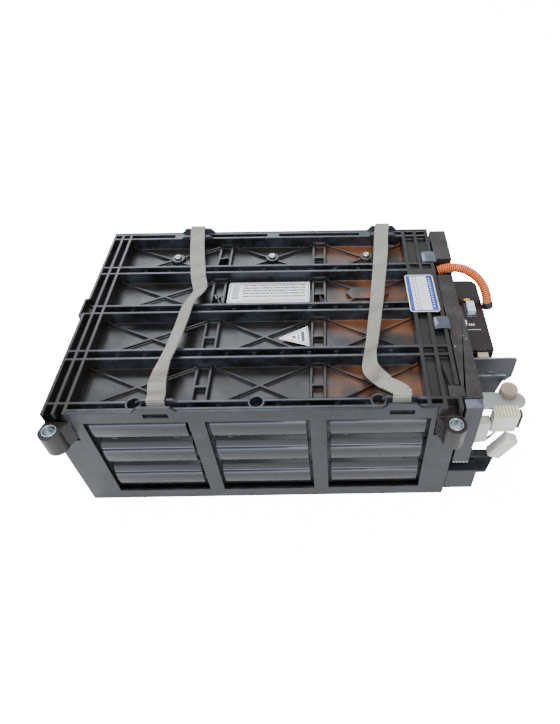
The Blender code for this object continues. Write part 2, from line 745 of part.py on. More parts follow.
def panel_outline(notch):
    """The front or rear panel: humps over the strap slots, and clear of the lugs."""
    notch_x = CORNER_X - FIT
    notch_z = LUG_TOP - LUG_H - 0.004
    top = CASE_H
    outline = [(-HALF_L, 0.0), (HALF_L, 0.0)]
    if notch:
        outline += [(HALF_L, notch_z), (notch_x, notch_z), (notch_x, top)]
    else:
        outline += [(HALF_L, top)]
    for x, top_w in zip(reversed(STRAP_X), reversed(HUMP_TOP_W)):
        outline += reversed(hump_outline(x, top_w, top, HUMP_H))
    if notch:
        outline += [(-notch_x, top), (-notch_x, notch_z), (-HALF_L, notch_z)]
    else:
        outline += [(-HALF_L, top)]
    return outline


def strap_slots(y0, y1):
    low = CASE_H - SLOT_DROP
    return [((x - SLOT_W / 2, y0, low), (x + SLOT_W / 2, y1, low + SLOT_H)) for x in STRAP_X]


def front_panel():
    mesh = outline_mesh(panel_outline(True), -HALF_D, -HALF_D + PANEL_T, "Y")
    panel = place(mesh, "front_panel", CASE_BLACK)
    windows = [((x - WINDOW_W / 2, -HALF_D - OVER, WINDOW_BOTTOM),
                (x + WINDOW_W / 2, -HALF_D + PANEL_T + OVER, WINDOW_TOP)) for x in COLUMN_X]
    slots = strap_slots(-HALF_D - OVER, -HALF_D + PANEL_T + OVER)
    return cut(panel, box_mesh(windows + slots), "windows")


def rear_panel():
    mesh = outline_mesh(panel_outline(False), HALF_D - PANEL_T, HALF_D, "Y")
    panel = place(mesh, "rear_panel", CASE_BLACK)
    return cut(panel, box_mesh(strap_slots(HALF_D - PANEL_T - OVER, HALF_D + OVER)), "slots")


def end_panels():
    inner = HALF_L - PANEL_T
    y = HALF_D - PANEL_T - FIT
    top = COVER_BOTTOM - FIT
    box("left_end_panel", (-HALF_L, -y, 0.0), (-inner, y, top), CASE_BLACK)
    right = box("right_end_panel", (inner, -y, 0.0), (HALF_L, y, top), CASE_BLACK)
    holes = [((inner - OVER, y_ - 0.012, 0.066), (HALF_L + OVER, y_ + 0.012, 0.084))
             for y_ in (module_y(0), module_y(ROWS - 1))]
    cut(right, box_mesh(holes), "lead_holes")


def vane_outline(groove, lip):
    """A vane's section as (y, z): a bulged body below a groove, and a lip that slopes back above."""
    face = -HALF_D + VANE_SET
    low = -VANE_BODY
    body = [(0.0030, 0.0), (0.0006, -0.0014), (0.0, low * 0.3), (0.0004, low * 0.6),
            (0.0016, low * 0.82), (0.0040, low * 0.95), (0.0075, low)]
    inside = [(0.0075, low + VANE_T), (0.0048, low * 0.93 + VANE_T), (0.0016 + VANE_T, low * 0.78),
              (VANE_T, low * 0.5), (VANE_T + 0.0006, -0.0020)]
    if lip:
        above = [(VANE_T + 0.0030, -0.0002), (VANE_T + 0.0030, 0.0070), (0.0105, 0.0150), (0.0085, 0.0160),
                 (0.0045, 0.0110), (0.0014, 0.0030)]
    else:
        above = [(VANE_T + 0.0030, -0.0002), (VANE_T + 0.0030, 0.0014), (0.0014, 0.0014)]
    return [(face + y, groove + z) for y, z in body + inside + above]


def louvres():
    width = WINDOW_W - 2 * VANE_END_GAP
    back = -HALF_D + VANE_SET + POST_SET
    grooves = [COVER_BOTTOM - WINDOW_LAP - k * VANE_PITCH for k in range(VANES)]
    foot = grooves[-1] - VANE_BODY + OVER
    for i, x in enumerate(COLUMN_X):
        low = x - width / 2
        high = x + width / 2
        meshes = [outline_mesh(vane_outline(z, z != grooves[0]), low, high, "X") for z in grooves]
        insert = place(joined(meshes), f"vent_louvre_{i + 1}", VANE_BLACK)
        posts = []
        ties = []
        for px in (x - width / 3, x + width / 3):
            left = px - POST_W / 2
            right = px + POST_W / 2
            posts.append(((left, back, foot), (right, back + POST_T, grooves[0] + OVER)))
            for z in grooves:
                tie = z - VANE_BODY / 2
                ties.append(((left, back - 0.0050, tie), (right, back + OVER, tie + POST_TIE_H)))
        fuse(insert, box_mesh(posts), "posts")
        fuse(insert, box_mesh(ties), "post_ties")


# ------------------------------------------------------------------ cell modules
def module_y(row):
    return ROW_Y0[row] + BAY_D / 2


def module_z(layer):
    return BASE_T + FIT + MODULE_H / 2 + layer * (MODULE_H + FIT)


def module_mesh():
    """One module about its own centre: a rounded bar with a stud at each end."""
    half = (MODULE_L / 2, MODULE_W / 2, MODULE_H / 2)
    bar = guide(box_mesh([(tuple(-h for h in half), half)]), "module_form")
    bevel(bar, MODULE_ROUND, 2)
    graph = bpy.context.evaluated_depsgraph_get()
    rounded = bpy.data.meshes.new_from_object(bar.evaluated_get(graph))
    bpy.data.objects.remove(bar, do_unlink=True)
    form = guide(rounded, "module_form")
    reach = MODULE_L / 2 + STUD_L
    stud = drum_mesh([(0.0, 0.0, STUD_R, -reach, reach)], 12)
    stud.transform(Matrix.Rotation(math.pi / 2, 4, "Y"))
    fuse(form, stud, "studs")
    graph = bpy.context.evaluated_depsgraph_get()
    made = bpy.data.meshes.new_from_object(form.evaluated_get(graph))
    bpy.data.objects.remove(form, do_unlink=True)
    return made


def module_order():
    """Rows and layers in the order of the series circuit, back and forth."""
    order = []
    for layer in range(LAYERS):
        rows = range(ROWS) if layer % 2 == 0 else reversed(range(ROWS))
        order += [(row, layer) for row in rows]
    return order


def modules():
    shared = module_mesh()
    order = module_order()
    for i, (row, layer) in enumerate(order):
        cell = place(shared, f"cell_module_{i + 1:02d}", CELL)
        cell.location = (0.0, module_y(row), module_z(layer))
    reach = MODULE_L / 2 + STUD_L + FIT
    for i, (first, second) in enumerate(zip(order, order[1:])):
        side = 1 if i % 2 == 0 else -1
        ys = sorted((module_y(first[0]), module_y(second[0])))
        zs = sorted((module_z(first[1]), module_z(second[1])))
        near, far = sorted((side * reach, side * (reach + LINK_T)))
        box(f"bus_link_{i + 1:02d}", (near, ys[0] - LINK_W / 2, zs[0] - LINK_W / 2),
            (far, ys[1] + LINK_W / 2, zs[1] + LINK_W / 2), COPPER)


# ------------------------------------------------------------------ straps
def strap(name, route):
    """A flat webbing strap: a narrow grid laid along the route, thickened by Solidify."""
    line = smooth_line(route, 3)
    bm = bmesh.new()
    bmesh.ops.create_grid(bm, x_segments=1, y_segments=len(line) - 1, size=0.5)
    for vert in bm.verts:
        spot = line[round((vert.co.y + 0.5) * (len(line) - 1))]
        vert.co = spot + Vector((vert.co.x * STRAP_W, 0.0, 0.0))
    mesh = bpy.data.meshes.new(name)
    bm.to_mesh(mesh)
    bm.free()
    made = place(mesh, name, WEBBING)
    wall = made.modifiers.new("wall", "SOLIDIFY")
    wall.thickness = STRAP_T
    wall.offset = 0.0
    wall.use_even_offset = True
    return made


def over_rear_hump(x):
    """The strap's way out of the rear slot and over the hump above it."""
    outside = HALF_D + STRAP_T / 2 + 2 * STRAP_CLEAR
    slot = CASE_H - SLOT_DROP + SLOT_H / 2
    crest = CASE_H + HUMP_H + STRAP_T / 2 + 0.0010
    return [(x, outside, slot), (x, outside, CASE_H + HUMP_H - 0.001),
            (x, HALF_D + 0.0006, crest + 0.0008), (x, HALF_D - PANEL_T - 0.001, crest)]


def into_front_rim(x):
    """The strap's way over the front rim's inner wall and down behind the front panel."""
    channel = -COVER_Y + WALL_T + 0.0026
    over_wall = CASE_H + HUMP_H / 2 + STRAP_T / 2 + 2 * STRAP_CLEAR
    slot = CASE_H - SLOT_DROP + SLOT_H / 2
    return [(x, ROW_Y0[0] + 0.004, over_wall), (x, ROW_Y0[0] - WALL_T - 0.0005, over_wall + 0.0002),
            (x, channel + 0.0010, CASE_H + 0.001), (x, channel, CASE_H - 0.003), (x, channel, slot - 0.002)]


def straps():
    rest = CASE_H + STRAP_T / 2 + STRAP_CLEAR
    near_wall = CASE_H + HUMP_H / 2 + STRAP_T / 2 + 2 * STRAP_CLEAR
    left, right = STRAP_X
    back_wall = ROW_Y0[-1] + BAY_D
    left_way = [(0.006, 0.645), (0.014, 0.395), (0.020, 0.184), (0.013, 0.066), (0.007, -0.132),
                (0.002, -0.434), (-0.003, -0.710)]
    right_way = [(-0.007, 0.592), (-0.012, 0.230), (-0.020, -0.158), (-0.026, -0.434), (-0.024, -0.645)]
    for name, x, first, way in (("left_strap", left, 0.001, left_way),
                                ("right_strap", right, -0.003, right_way)):
        over = [(x + first, back_wall, near_wall)]
        over += [(x + shift, share * HALF_D, rest) for shift, share in way]
        strap(name, over_rear_hump(x) + over + into_front_rim(x))


# ------------------------------------------------------------------ electrical end
def terminal_housing():
    low = (HOUSING_X0, HOUSING_FRONT, HOUSING_BOTTOM)
    high = (HOUSING_X1, HOUSING_BACK, HOUSING_TOP)
    housing = box("terminal_housing", low, high, STRIP_BROWN)
    inset = Vector((HOUSING_WALL, HOUSING_WALL, HOUSING_WALL))
    hollow_low = Vector(low) + inset
    hollow_low.x = HOUSING_X0 - OVER
    hollow = (hollow_low, Vector(high) - inset)
    return cut(housing, box_mesh([hollow]), "hollow")


def clip_box(y):
    """The snap tongue that reaches from an end cover over the flange."""
    root = HOUSING_X0 + HOUSING_WALL + OVER
    return (HALF_L - CLIP_REACH, y - CLIP_W / 2, CLIP_Z0), (root, y + CLIP_W / 2, CLIP_Z0 + CLIP_T)


def end_covers():
    block = box("end_cover_block", (HOUSING_X0 + 0.002, BLOCK_FRONT, STRIP_Z0),
                (HOUSING_X1 - 0.002, HOUSING_BACK, CASE_H), STRIP_BROWN)
    fuse(block, box_mesh([clip_box(CLIP_Y[0])]), "clip")
    strip = box("end_cover_strip", (HOUSING_X0 + 0.002, HOUSING_FRONT, STRIP_Z0),
                (HOUSING_X1 - 0.0030, STRIP_STEP, STRIP_Z0 + STRIP_T), STRIP_BROWN)
    upper = ((HOUSING_X0 + 0.002, STRIP_STEP - OVER, STRIP_Z0),
             (HOUSING_X1 - 0.0045, STRIP_BACK, STRIP_Z0 + STRIP_T - 0.0025))
    fuse(strip, box_mesh([upper]), "upper_length")
    fuse(strip, box_mesh([clip_box(y) for y in CLIP_Y[1:]]), "clips")


def junction_box():
    x0 = FACE_X
    x1 = FACE_X + JBOX_W
    body_top = JBOX_TOP - LID_T - FIT
    r = JBOX_ROUND

    def footprint(inset):
        left = x0 + inset
        right = x1 - inset
        front = JBOX_FRONT + inset
        back = JBOX_BACK - inset
        corner = r - inset
        bend = arc((right - corner, back - corner), corner, 0, 90, 6)
        return [(left, front), (right, front), *bend, (left, back)]

    body = place(outline_mesh(footprint(0.0), JBOX_BOTTOM, body_top), "junction_box", BOX_MAROON)
    cut(body, outline_mesh(footprint(JBOX_WALL), JBOX_BOTTOM + JBOX_WALL, body_top + OVER), "hollow")
    lid = place(outline_mesh(footprint(0.0), body_top + FIT, JBOX_TOP), "junction_box_lid", BOX_MAROON)
    px, py = PLUG_XY
    half_x = PLUG_SIZE[0] / 2
    half_y = PLUG_SIZE[1] / 2
    hole_low = Vector((px - half_x, py - half_y, JBOX_TOP - PLUG_SOCKET)) - Vector((PLUG_CLEAR,) * 3)
    hole_high = Vector((px + half_x + PLUG_CLEAR, py + half_y + PLUG_CLEAR, JBOX_TOP + PLUG_SOCKET))
    around = Vector((SOCKET_WALL, SOCKET_WALL, 0.0))
    sleeve_low = hole_low - Vector((SOCKET_WALL,) * 3)
    sleeve_high = hole_high + around
    sleeve_high.z = JBOX_TOP + SOCKET_WALL
    fuse(lid, box_mesh([(sleeve_low, sleeve_high)]), "socket_sleeve")
    cut(lid, box_mesh([(hole_low, hole_high)]), "socket_hole")
    plug = box("signal_plug", (-half_x, -half_y, 0.0), (half_x, half_y, PLUG_SIZE[2]), PALE_BLUE)
    plug.location = (px, py, JBOX_TOP - PLUG_SOCKET)


def conduit_route():
    """From the gap between the end covers, over the junction box, down to its side."""
    side = FACE_X + JBOX_W
    places = [(FACE_X - 0.0201, -0.0115, 0.0090), (FACE_X - 0.0146, -0.0110, 0.0112),
              (FACE_X - 0.0035, -0.0138, 0.0155), (FACE_X + 0.0096, -0.0205, 0.0180),
              (side - 0.0085, -0.0305, 0.0155), (side + 0.0004, -0.0395, 0.0085),
              (side + 0.0057, -0.0455, -0.0020), (side + 0.0080, -0.0490, -0.0115)]
    return [(x, BLOCK_FRONT + y, HOUSING_TOP + z) for x, y, z in places]


def conduit():
    """The corrugated sleeve of the power cable, held at both ends, and its cuff."""
    route = conduit_route()
    place(tube_mesh(route, CONDUIT_R, 3), "power_conduit", ORANGE)
    end = Vector(route[-1])
    way = (end - Vector(route[-2])).normalized()
    near = end + way * FIT
    far = near + way * CUFF_L
    place(tube_mesh([near, (near + far) / 2, far], CUFF_R, 3), "conduit_cuff", RUBBER)
    box("conduit_clamp", (HOUSING_X0 + 0.002, BLOCK_FRONT - FIT - CLAMP_W, STRIP_Z0),
        (HOUSING_X1 + OVER, BLOCK_FRONT - FIT, STRIP_Z0 + CLAMP_T), BRACKET_GREY)


def plates():
    """Two upright bracket plates, the terminal plate and its lift-off cap."""
    x0 = FACE_X
    top = JBOX_TOP + 2 * OVER
    wide_end = x0 + 0.0540
    wide = [(x0, top - 0.039), (x0 + 0.0475, top - 0.039), (wide_end, top - 0.031),
            (wide_end, top - 0.0025), (wide_end - 0.0025, top), (x0, top)]
    short = [(x0, top - 0.041), (x0 + 0.0262, top - 0.041), (x0 + 0.0347, top), (x0, top)]
    for name, outline, y in (("wide", wide, PLATE_Y[0]), ("short", short, PLATE_Y[1])):
        plate = outline_mesh(outline, y - PLATE_T, y, "Y")
        place(plate, f"{name}_bracket_plate", PLATE_GREY)
    half = DISC_W / 2
    end_x = x0 + DISC_REACH - half
    outline = [(x0, DISC_Y - half), *arc((end_x, DISC_Y), half, -90, 90, 14), (x0, DISC_Y + half)]
    disc = place(outline_mesh(outline, DISC_TOP - DISC_T, DISC_TOP), "terminal_plate", ALLOY)
    fuse(disc, drum_mesh([(*CAP_XY, LOBE_R, DISC_TOP - DISC_T, DISC_TOP)], 32), "lobe")
    stud_top = DISC_TOP + CAP_H - CAP_WALL - CAP_CLEAR
    fuse(disc, drum_mesh([(*CAP_XY, CAP_STUD_R, DISC_TOP - OVER, stud_top)], 20), "stud")
    inner = CAP_STUD_R + CAP_CLEAR
    top = CAP_H
    profile = [(0.0, top), (CAP_R - 0.001, top), (CAP_R, top - 0.001), (CAP_R, 0.0), (inner, 0.0),
               (inner, top - CAP_WALL), (0.0, top - CAP_WALL)]
    cap = turned("terminal_cap", profile, CAP_BROWN, 24)
    cap.location = (*CAP_XY, DISC_TOP + FIT)


def connectors():
    """Three ivory wire connectors in front of the terminal plate, and their leads."""
    x0 = FACE_X
    back = DISC_Y - DISC_W / 2 - FIT
    front = back - CONNECTOR_D
    left = x0 + UPPER_X[0]
    right = x0 + UPPER_X[1]
    low = DISC_TOP + UPPER_Z[0]
    high = DISC_TOP + UPPER_Z[1]
    upper = box("upper_connector", (left, front, low), (right, back, high), IVORY)
    pitch = (right - left) / GRIP_RIBS
    ribs = []
    for i in range(GRIP_RIBS):
        middle = left + (i + 0.5) * pitch
        ribs.append(((middle - pitch * 0.3, front + OVER, high - OVER),
                     (middle + pitch * 0.3, back - OVER, high + GRIP_RIB_H)))
    fuse(upper, box_mesh(ribs), "grip_ribs")
    box("middle_connector", (x0, front + OVER, DISC_TOP + MIDDLE_Z[0]),
        (x0 + MIDDLE_W, back, DISC_TOP + MIDDLE_Z[1]), IVORY)
    half = Vector(LOWER_SIZE) / 2
    centre = Vector((x0 + LOWER_OUT, back - 0.0095, SHELF_TOP + LOWER_SHARE * (DISC_TOP - SHELF_TOP)))
    lower = box("lower_connector", -half, half, IVORY)
    lower.location = centre
    lower.rotation_euler = Euler((0.0, LOWER_TILT, 0.0))
    lead_y = back - CONNECTOR_D / 2
    down = DISC_TOP + MIDDLE_Z[0] - 3 * LEAD_R
    start_x = left + 0.0090
    lead = [(start_x, lead_y, low - FIT), (start_x, lead_y, low - 0.008),
            (x0 + 0.0170, lead_y, down + 0.004), (x0 + 0.0060, lead_y, down), (x0 + FIT, lead_y, down)]
    place(tube_mesh(lead, LEAD_R, 2), "signal_lead", IVORY)
    axis = Matrix.Rotation(LOWER_TILT, 4, "Y") @ Vector((0.0, 0.0, 1.0))
    tail = centre - axis * (half.z + 4 * FIT)
    drop = tail.z - 2.5 * LEAD_R
    sleeve = [tail, tail - axis * 0.003, (x0 + 0.0090, centre.y, drop), (x0 + FIT, centre.y, drop + FIT)]
    place(tube_mesh(sleeve, LEAD_R, 2), "sleeved_lead", RUBBER)


def front_corner():
    """The grey end bracket, the lower tray and the harness shelf."""
    x0 = HOUSING_X0
    y0 = CORNER_Y
    left, right = (x0 + x for x in BRACKET_X)
    top = CASE_H - 0.0025
    bracket = box("end_bracket", (left, y0, BRACKET_BOTTOM), (right, y0 + BRACKET_D, top), BRACKET_GREY)
    hollow_low = (left + BRACKET_WALL, y0 + BRACKET_WALL, BRACKET_BOTTOM - OVER)
    hollow_high = (right - BRACKET_WALL, y0 + BRACKET_D + OVER, top - BRACKET_WALL - OVER)
    cut(bracket, box_mesh([(hollow_low, hollow_high)]), "hollow")
    box("lower_tray", (x0, y0, TRAY_Z[0]), (x0 + TRAY_X, y0 + TRAY_D, TRAY_Z[1]), CASE_BLACK)
    nose = y0 + 0.002
    seat = x0 + TRAY_X + FIT
    shelf = [(seat, nose), (x0 + 0.045, nose), (x0 + 0.060, nose + 0.022),
             (x0 + 0.060, nose + 0.030), (seat, nose + 0.030)]
    place(outline_mesh(shelf, SHELF_TOP - SHELF_T, SHELF_TOP), "harness_shelf", CASE_BLACK)


def build():
    top_cover()
    cover_screws()
    lug_bushes()
    base_tray()
    front_panel()
    rear_panel()
    end_panels()
    louvres()
    modules()
    straps()
    terminal_housing()
    end_covers()
    junction_box()
    conduit()
    plates()
    connectors()
    front_corner()


build()
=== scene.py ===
import math

import bmesh
import bpy
import numpy as np
from mathutils import Matrix, Vector


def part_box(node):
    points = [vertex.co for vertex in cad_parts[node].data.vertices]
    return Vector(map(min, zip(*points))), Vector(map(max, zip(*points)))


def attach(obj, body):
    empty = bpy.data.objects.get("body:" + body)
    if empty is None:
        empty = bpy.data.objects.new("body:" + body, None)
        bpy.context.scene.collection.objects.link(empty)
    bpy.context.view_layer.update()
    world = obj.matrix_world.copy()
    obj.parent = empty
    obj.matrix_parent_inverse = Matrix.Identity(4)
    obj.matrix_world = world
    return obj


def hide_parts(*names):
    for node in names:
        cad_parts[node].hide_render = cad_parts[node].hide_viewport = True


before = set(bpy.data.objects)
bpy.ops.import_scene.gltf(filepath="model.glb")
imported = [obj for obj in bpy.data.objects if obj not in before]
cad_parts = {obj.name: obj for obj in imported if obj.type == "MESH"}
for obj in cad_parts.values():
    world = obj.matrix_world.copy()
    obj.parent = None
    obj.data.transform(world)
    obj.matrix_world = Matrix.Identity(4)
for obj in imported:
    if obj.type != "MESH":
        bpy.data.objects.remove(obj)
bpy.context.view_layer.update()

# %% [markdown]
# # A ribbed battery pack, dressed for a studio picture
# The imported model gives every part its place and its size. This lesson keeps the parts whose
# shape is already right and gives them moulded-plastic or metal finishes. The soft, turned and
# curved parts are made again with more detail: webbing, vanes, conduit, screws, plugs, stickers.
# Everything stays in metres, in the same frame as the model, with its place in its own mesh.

TOP = 0.169  # height of the cover's wall tops
BAY_LEVEL, FLANGE_LEVEL = 0.1570, 0.16935  # heights at which the stickers lie
WEFT = 0.0022  # pitch of the webbing's ribs


def placed(name, data):
    """An object that shows the data, linked into the scene."""
    made = bpy.data.objects.new(name, data)
    bpy.context.scene.collection.objects.link(made)
    return made


# %% [markdown]
# ## The camera, the floor and the light
# The camera stands in front of the pack, a little to its right, and looks down at about 48
# degrees. A long lens would flatten the case; this one is a moderate wide angle, so the case
# narrows towards the back. Its three directions are written as rows and turned into a matrix.

# %% Camera
view_right = Vector((0.99987, -0.01419, -0.00763))
view_down = Vector((-0.01564, -0.7421, -0.67011))
view_ahead = Vector((0.00385, 0.67014, -0.74222))
eye = Vector((0.0811, -0.4879, 0.6115))
camera = placed("camera", bpy.data.cameras.new("camera"))
turn = Matrix((view_right, -view_down, -view_ahead)).transposed()
camera.matrix_world = Matrix.Translation(eye) @ turn.to_4x4()
camera.data.lens = 27.86
camera.data.shift_x = -0.0768
camera.data.clip_start = 0.02
bpy.context.scene.camera = camera

# %% [markdown]
# The floor is a plain pale plane just under the base; it isn't part of the object. It glows a
# little, as a lit sweep of paper does, and more towards the camera than towards the object, so
# that it stays near white without washing the case out. The light is a pale sky, one large soft
# panel behind the case that puts a sheen on the tops of the walls, one over it, one near the
# camera, and a weaker one in front for the louvres.

# %% Floor, sky and softboxes
FLOOR_LEVEL = -0.0006
floor_corners = [(x, y, FLOOR_LEVEL) for x, y in ((-6, -6), (6, -6), (6, 6), (-6, 6))]
floor_mesh = bpy.data.meshes.new("studio_floor")
floor_mesh.from_pydata(floor_corners, [], [(0, 1, 2, 3)])
studio_floor = placed("studio_floor", floor_mesh)
floor_paint = bpy.data.materials.new("studio_floor")
floor_paint.use_nodes = True
floor_shader = floor_paint.node_tree.nodes["Principled BSDF"]
floor_shader.inputs["Base Color"].default_value = (0.93, 0.93, 0.93, 1)
floor_shader.inputs["Roughness"].default_value = 0.9
floor_shader.inputs["Emission Color"].default_value = (0.97, 0.985, 1.0, 1)
seen = floor_paint.node_tree.nodes.new("ShaderNodeLightPath")
glow = floor_paint.node_tree.nodes.new("ShaderNodeMapRange")
glow.inputs[3].default_value = 0.35
glow.inputs[4].default_value = 15.0
floor_paint.node_tree.links.new(seen.outputs["Is Camera Ray"], glow.inputs[0])
floor_paint.node_tree.links.new(glow.outputs[0], floor_shader.inputs["Emission Strength"])
floor_mesh.materials.append(floor_paint)

sky = bpy.data.worlds.new("studio_sky")
sky.use_nodes = True
sky.node_tree.nodes["Background"].inputs["Color"].default_value = (0.93, 0.96, 1.0, 1)
sky.node_tree.nodes["Background"].inputs["Strength"].default_value = 0.80
bpy.context.scene.world = sky


def softbox(name, place, target, size, power, tint=(1.0, 1.0, 1.0)):
    """A square area light that stands at place and faces target."""
    lamp = bpy.data.lights.new(name, "AREA")
    lamp.size = size
    lamp.energy = power
    lamp.color = tint
    made = placed(name, lamp)
    made.location = place
    made.rotation_euler = (Vector(target) - Vector(place)).to_track_quat("-Z", "Y").to_euler()


softbox("back_panel", (-0.5, 1.6, 1.5), (0, 0, 0.1), 1.3, 30.0, (0.84, 0.91, 1.0))
softbox("top_panel", (-0.7, -0.2, 1.9), (0, 0, 0.1), 1.0, 21.0)
softbox("front_panel_light", (0.5, -1.9, 0.75), (0, 0, 0.08), 1.2, 9.0, (0.90, 0.95, 1.0))
softbox("over_camera", (0.35, -0.75, 1.35), (0.05, 0, 0.1), 0.5, 9.0, (1.0, 0.99, 0.97))
print("camera at", tuple(round(v, 3) for v in eye))

# %% [markdown]
# ## Shapes from numbers
# A shape is a grid of points, worked out as whole arrays: a flat outline stacked along an axis,
# a profile turned about an upright axis, or a profile carried along a path. Each of these gives
# a shell, which is a list of points, the quads between them, and the flat end caps. Modelling by
# hand would also work, but a formula keeps every fillet and pitch easy to change.

# %% Grids, outlines and shells
def grid_quads(rows, columns, wrap=True):
    """Each point of a grid joins its next neighbours along both ways; wrap closes every row."""
    r, c = np.meshgrid(np.arange(rows - 1), np.arange(columns if wrap else columns - 1), indexing="ij")
    after = (c + 1) % columns
    row, next_row = r * columns, (r + 1) * columns
    quads = np.stack([row + c, row + after, next_row + after, next_row + c], -1)
    return quads.reshape(-1, 4)


def shell(rings):
    """A closed shell from rings of points: quads between rings and one flat cap at each end."""
    count, size = rings.shape[:2]
    caps = [list(range(size))[::-1], list(range((count - 1) * size, count * size))]
    return rings.reshape(-1, 3), grid_quads(count, size), caps


def gather(shells):
    """Several shells as one: the later ones' corner numbers move up by the points before them."""
    points, quads, caps, start = [], [], [], 0
    for own_points, own_quads, own_caps in shells:
        points.append(own_points)
        quads.append(own_quads + start)
        caps += [[start + i for i in cap] for cap in own_caps]
        start += len(own_points)
    return np.vstack(points), np.vstack(quads), caps


def box_outline(x0, y0, x1, y1):
    return np.array([(x0, y0), (x1, y0), (x1, y1), (x0, y1)], float)


def rounded(outline, radius, steps=4):
    """Every corner becomes a small parabola between two points a radius away along its edges."""
    corner = np.asarray(outline, float)
    before = np.roll(corner, 1, axis=0) - corner
    after = np.roll(corner, -1, axis=0) - corner
    reach_before = np.linalg.norm(before, axis=1, keepdims=True)
    reach_after = np.linalg.norm(after, axis=1, keepdims=True)
    start = corner + before / reach_before * np.minimum(radius, 0.45 * reach_before)
    end = corner + after / reach_after * np.minimum(radius, 0.45 * reach_after)
    t = np.linspace(0, 1, steps + 1)[None, :, None]
    curve = (1 - t) ** 2 * start[:, None] + 2 * t * (1 - t) * corner[:, None] + t ** 2 * end[:, None]
    return curve.reshape(-1, 2)


def inset(outline, distance):
    """The outline moved inwards: each point goes along the mean of its two edges' normals."""
    edge = np.roll(outline, -1, axis=0) - outline
    edge = edge / np.maximum(np.linalg.norm(edge, axis=1, keepdims=True), 1e-9)
    normal = np.stack([-edge[:, 1], edge[:, 0]], 1)
    before = np.roll(normal, 1, axis=0)
    spread = 1 + np.sum(normal * before, axis=1, keepdims=True)
    return outline + distance * (normal + before) / np.maximum(spread, 0.4)


def counter_clockwise(outline):
    outline = np.asarray(outline, float)
    following = np.roll(outline, -1, axis=0)
    area = np.sum(outline[:, 0] * following[:, 1] - following[:, 0] * outline[:, 1])
    return outline if area > 0 else outline[::-1]


def slab(outline, low, high, edge, axis="Z", steps=3):
    """An outline stacked from low to high, its rims turned in along a quarter circle of radius edge."""
    outline = counter_clockwise(outline)
    a = np.linspace(0, np.pi / 2, steps + 1)
    draw = np.concatenate([edge * (1 - np.sin(a)), edge * (1 - np.sin(a[::-1]))])
    level = np.concatenate([low + edge * (1 - np.cos(a)), high - edge * (1 - np.cos(a[::-1]))])
    flat = np.stack([inset(outline, d) for d in draw])
    height = np.broadcast_to(level[:, None], flat.shape[:2])
    order = {"Z": (flat[..., 0], flat[..., 1], height), "Y": (flat[..., 0], height, flat[..., 1]),
             "X": (height, flat[..., 0], flat[..., 1])}
    return shell(np.stack(order[axis], -1))


def block(x0, y0, x1, y1, corner, low, high, edge, axis="Z", steps=3):
    """A slab over a rectangle, with rounded corners unless corner is 0."""
    outline = box_outline(x0, y0, x1, y1)
    return slab(rounded(outline, corner) if corner else outline, low, high, edge, axis, steps)


def spun(profile, centre, segments=48, star=None):
    """A profile of (radius, z) turned about an upright axis; star makes its rings six-lobed."""
    profile = np.asarray(profile, float)
    lobes = np.zeros(len(profile)) if star is None else np.asarray(star, float)
    angle = np.linspace(0, 2 * np.pi, segments, endpoint=False)
    radius = profile[:, :1] * (1 + lobes[:, None] * np.cos(6 * angle))
    height = np.broadcast_to(profile[:, 1:], radius.shape)
    rings = np.stack([centre[0] + radius * np.cos(angle), centre[1] + radius * np.sin(angle), height], -1)
    return shell(rings)


# %% [markdown]
# A path is a Catmull-Rom curve, which passes through every point it is given, spaced evenly so
# that a pattern along it keeps its pitch. At each point of the path three directions carry the
# profile: along the path, across it, and away from its face.

# %% Paths and carried profiles
def smooth_path(points, spacing):
    """The Catmull-Rom curve through the points, resampled at equal distances."""
    p = np.asarray(points, float)
    ends = np.vstack([2 * p[0] - p[1], p, 2 * p[-1] - p[-2]])
    a, b, c, d = ends[:-3], ends[1:-2], ends[2:-1], ends[3:]
    t = np.linspace(0, 1, 32, endpoint=False)[:, None, None]
    curve = 0.5 * (2 * b + (c - a) * t + (2 * a - 5 * b + 4 * c - d) * t ** 2
                   + (3 * b - a - 3 * c + d) * t ** 3)
    curve = np.vstack([curve.transpose(1, 0, 2).reshape(-1, 3), p[-1:]])
    run = np.concatenate([[0], np.cumsum(np.linalg.norm(np.diff(curve, axis=0), axis=1))])
    at = np.linspace(0, run[-1], max(3, round(run[-1] / spacing) + 1))
    return np.stack([np.interp(at, run, curve[:, k]) for k in range(3)], 1), at


def carried(path, aim, profile, twist=0.0):
    """Each ring is path point + across * u + face * v, for the profile's (u, v), turned by twist."""
    along = np.gradient(path, axis=0)
    along /= np.linalg.norm(along, axis=1, keepdims=True)
    aim = np.asarray(aim, float)
    across = aim - along * (along @ aim)[:, None]
    across /= np.linalg.norm(across, axis=1, keepdims=True)
    face = np.cross(along, across)
    turn_by = np.broadcast_to(np.asarray(twist, float), (len(path),))[:, None]
    across, face = (across * np.cos(turn_by) + face * np.sin(turn_by),
                    face * np.cos(turn_by) - across * np.sin(turn_by))
    profile = np.broadcast_to(profile, (len(path),) + profile.shape[-2:])
    return path[:, None] + across[:, None] * profile[..., :1] + face[:, None] * profile[..., 1:]


def circle(radius, sides=20):
    angle = np.linspace(0, 2 * np.pi, sides, endpoint=False)
    return np.stack([radius * np.cos(angle), radius * np.sin(angle)], 1)


def tube(points, radius, spacing=0.0015, aim=(0, 0, 1), sides=16):
    path, _ = smooth_path(points, spacing)
    return shell(carried(path, aim, circle(radius, sides)))


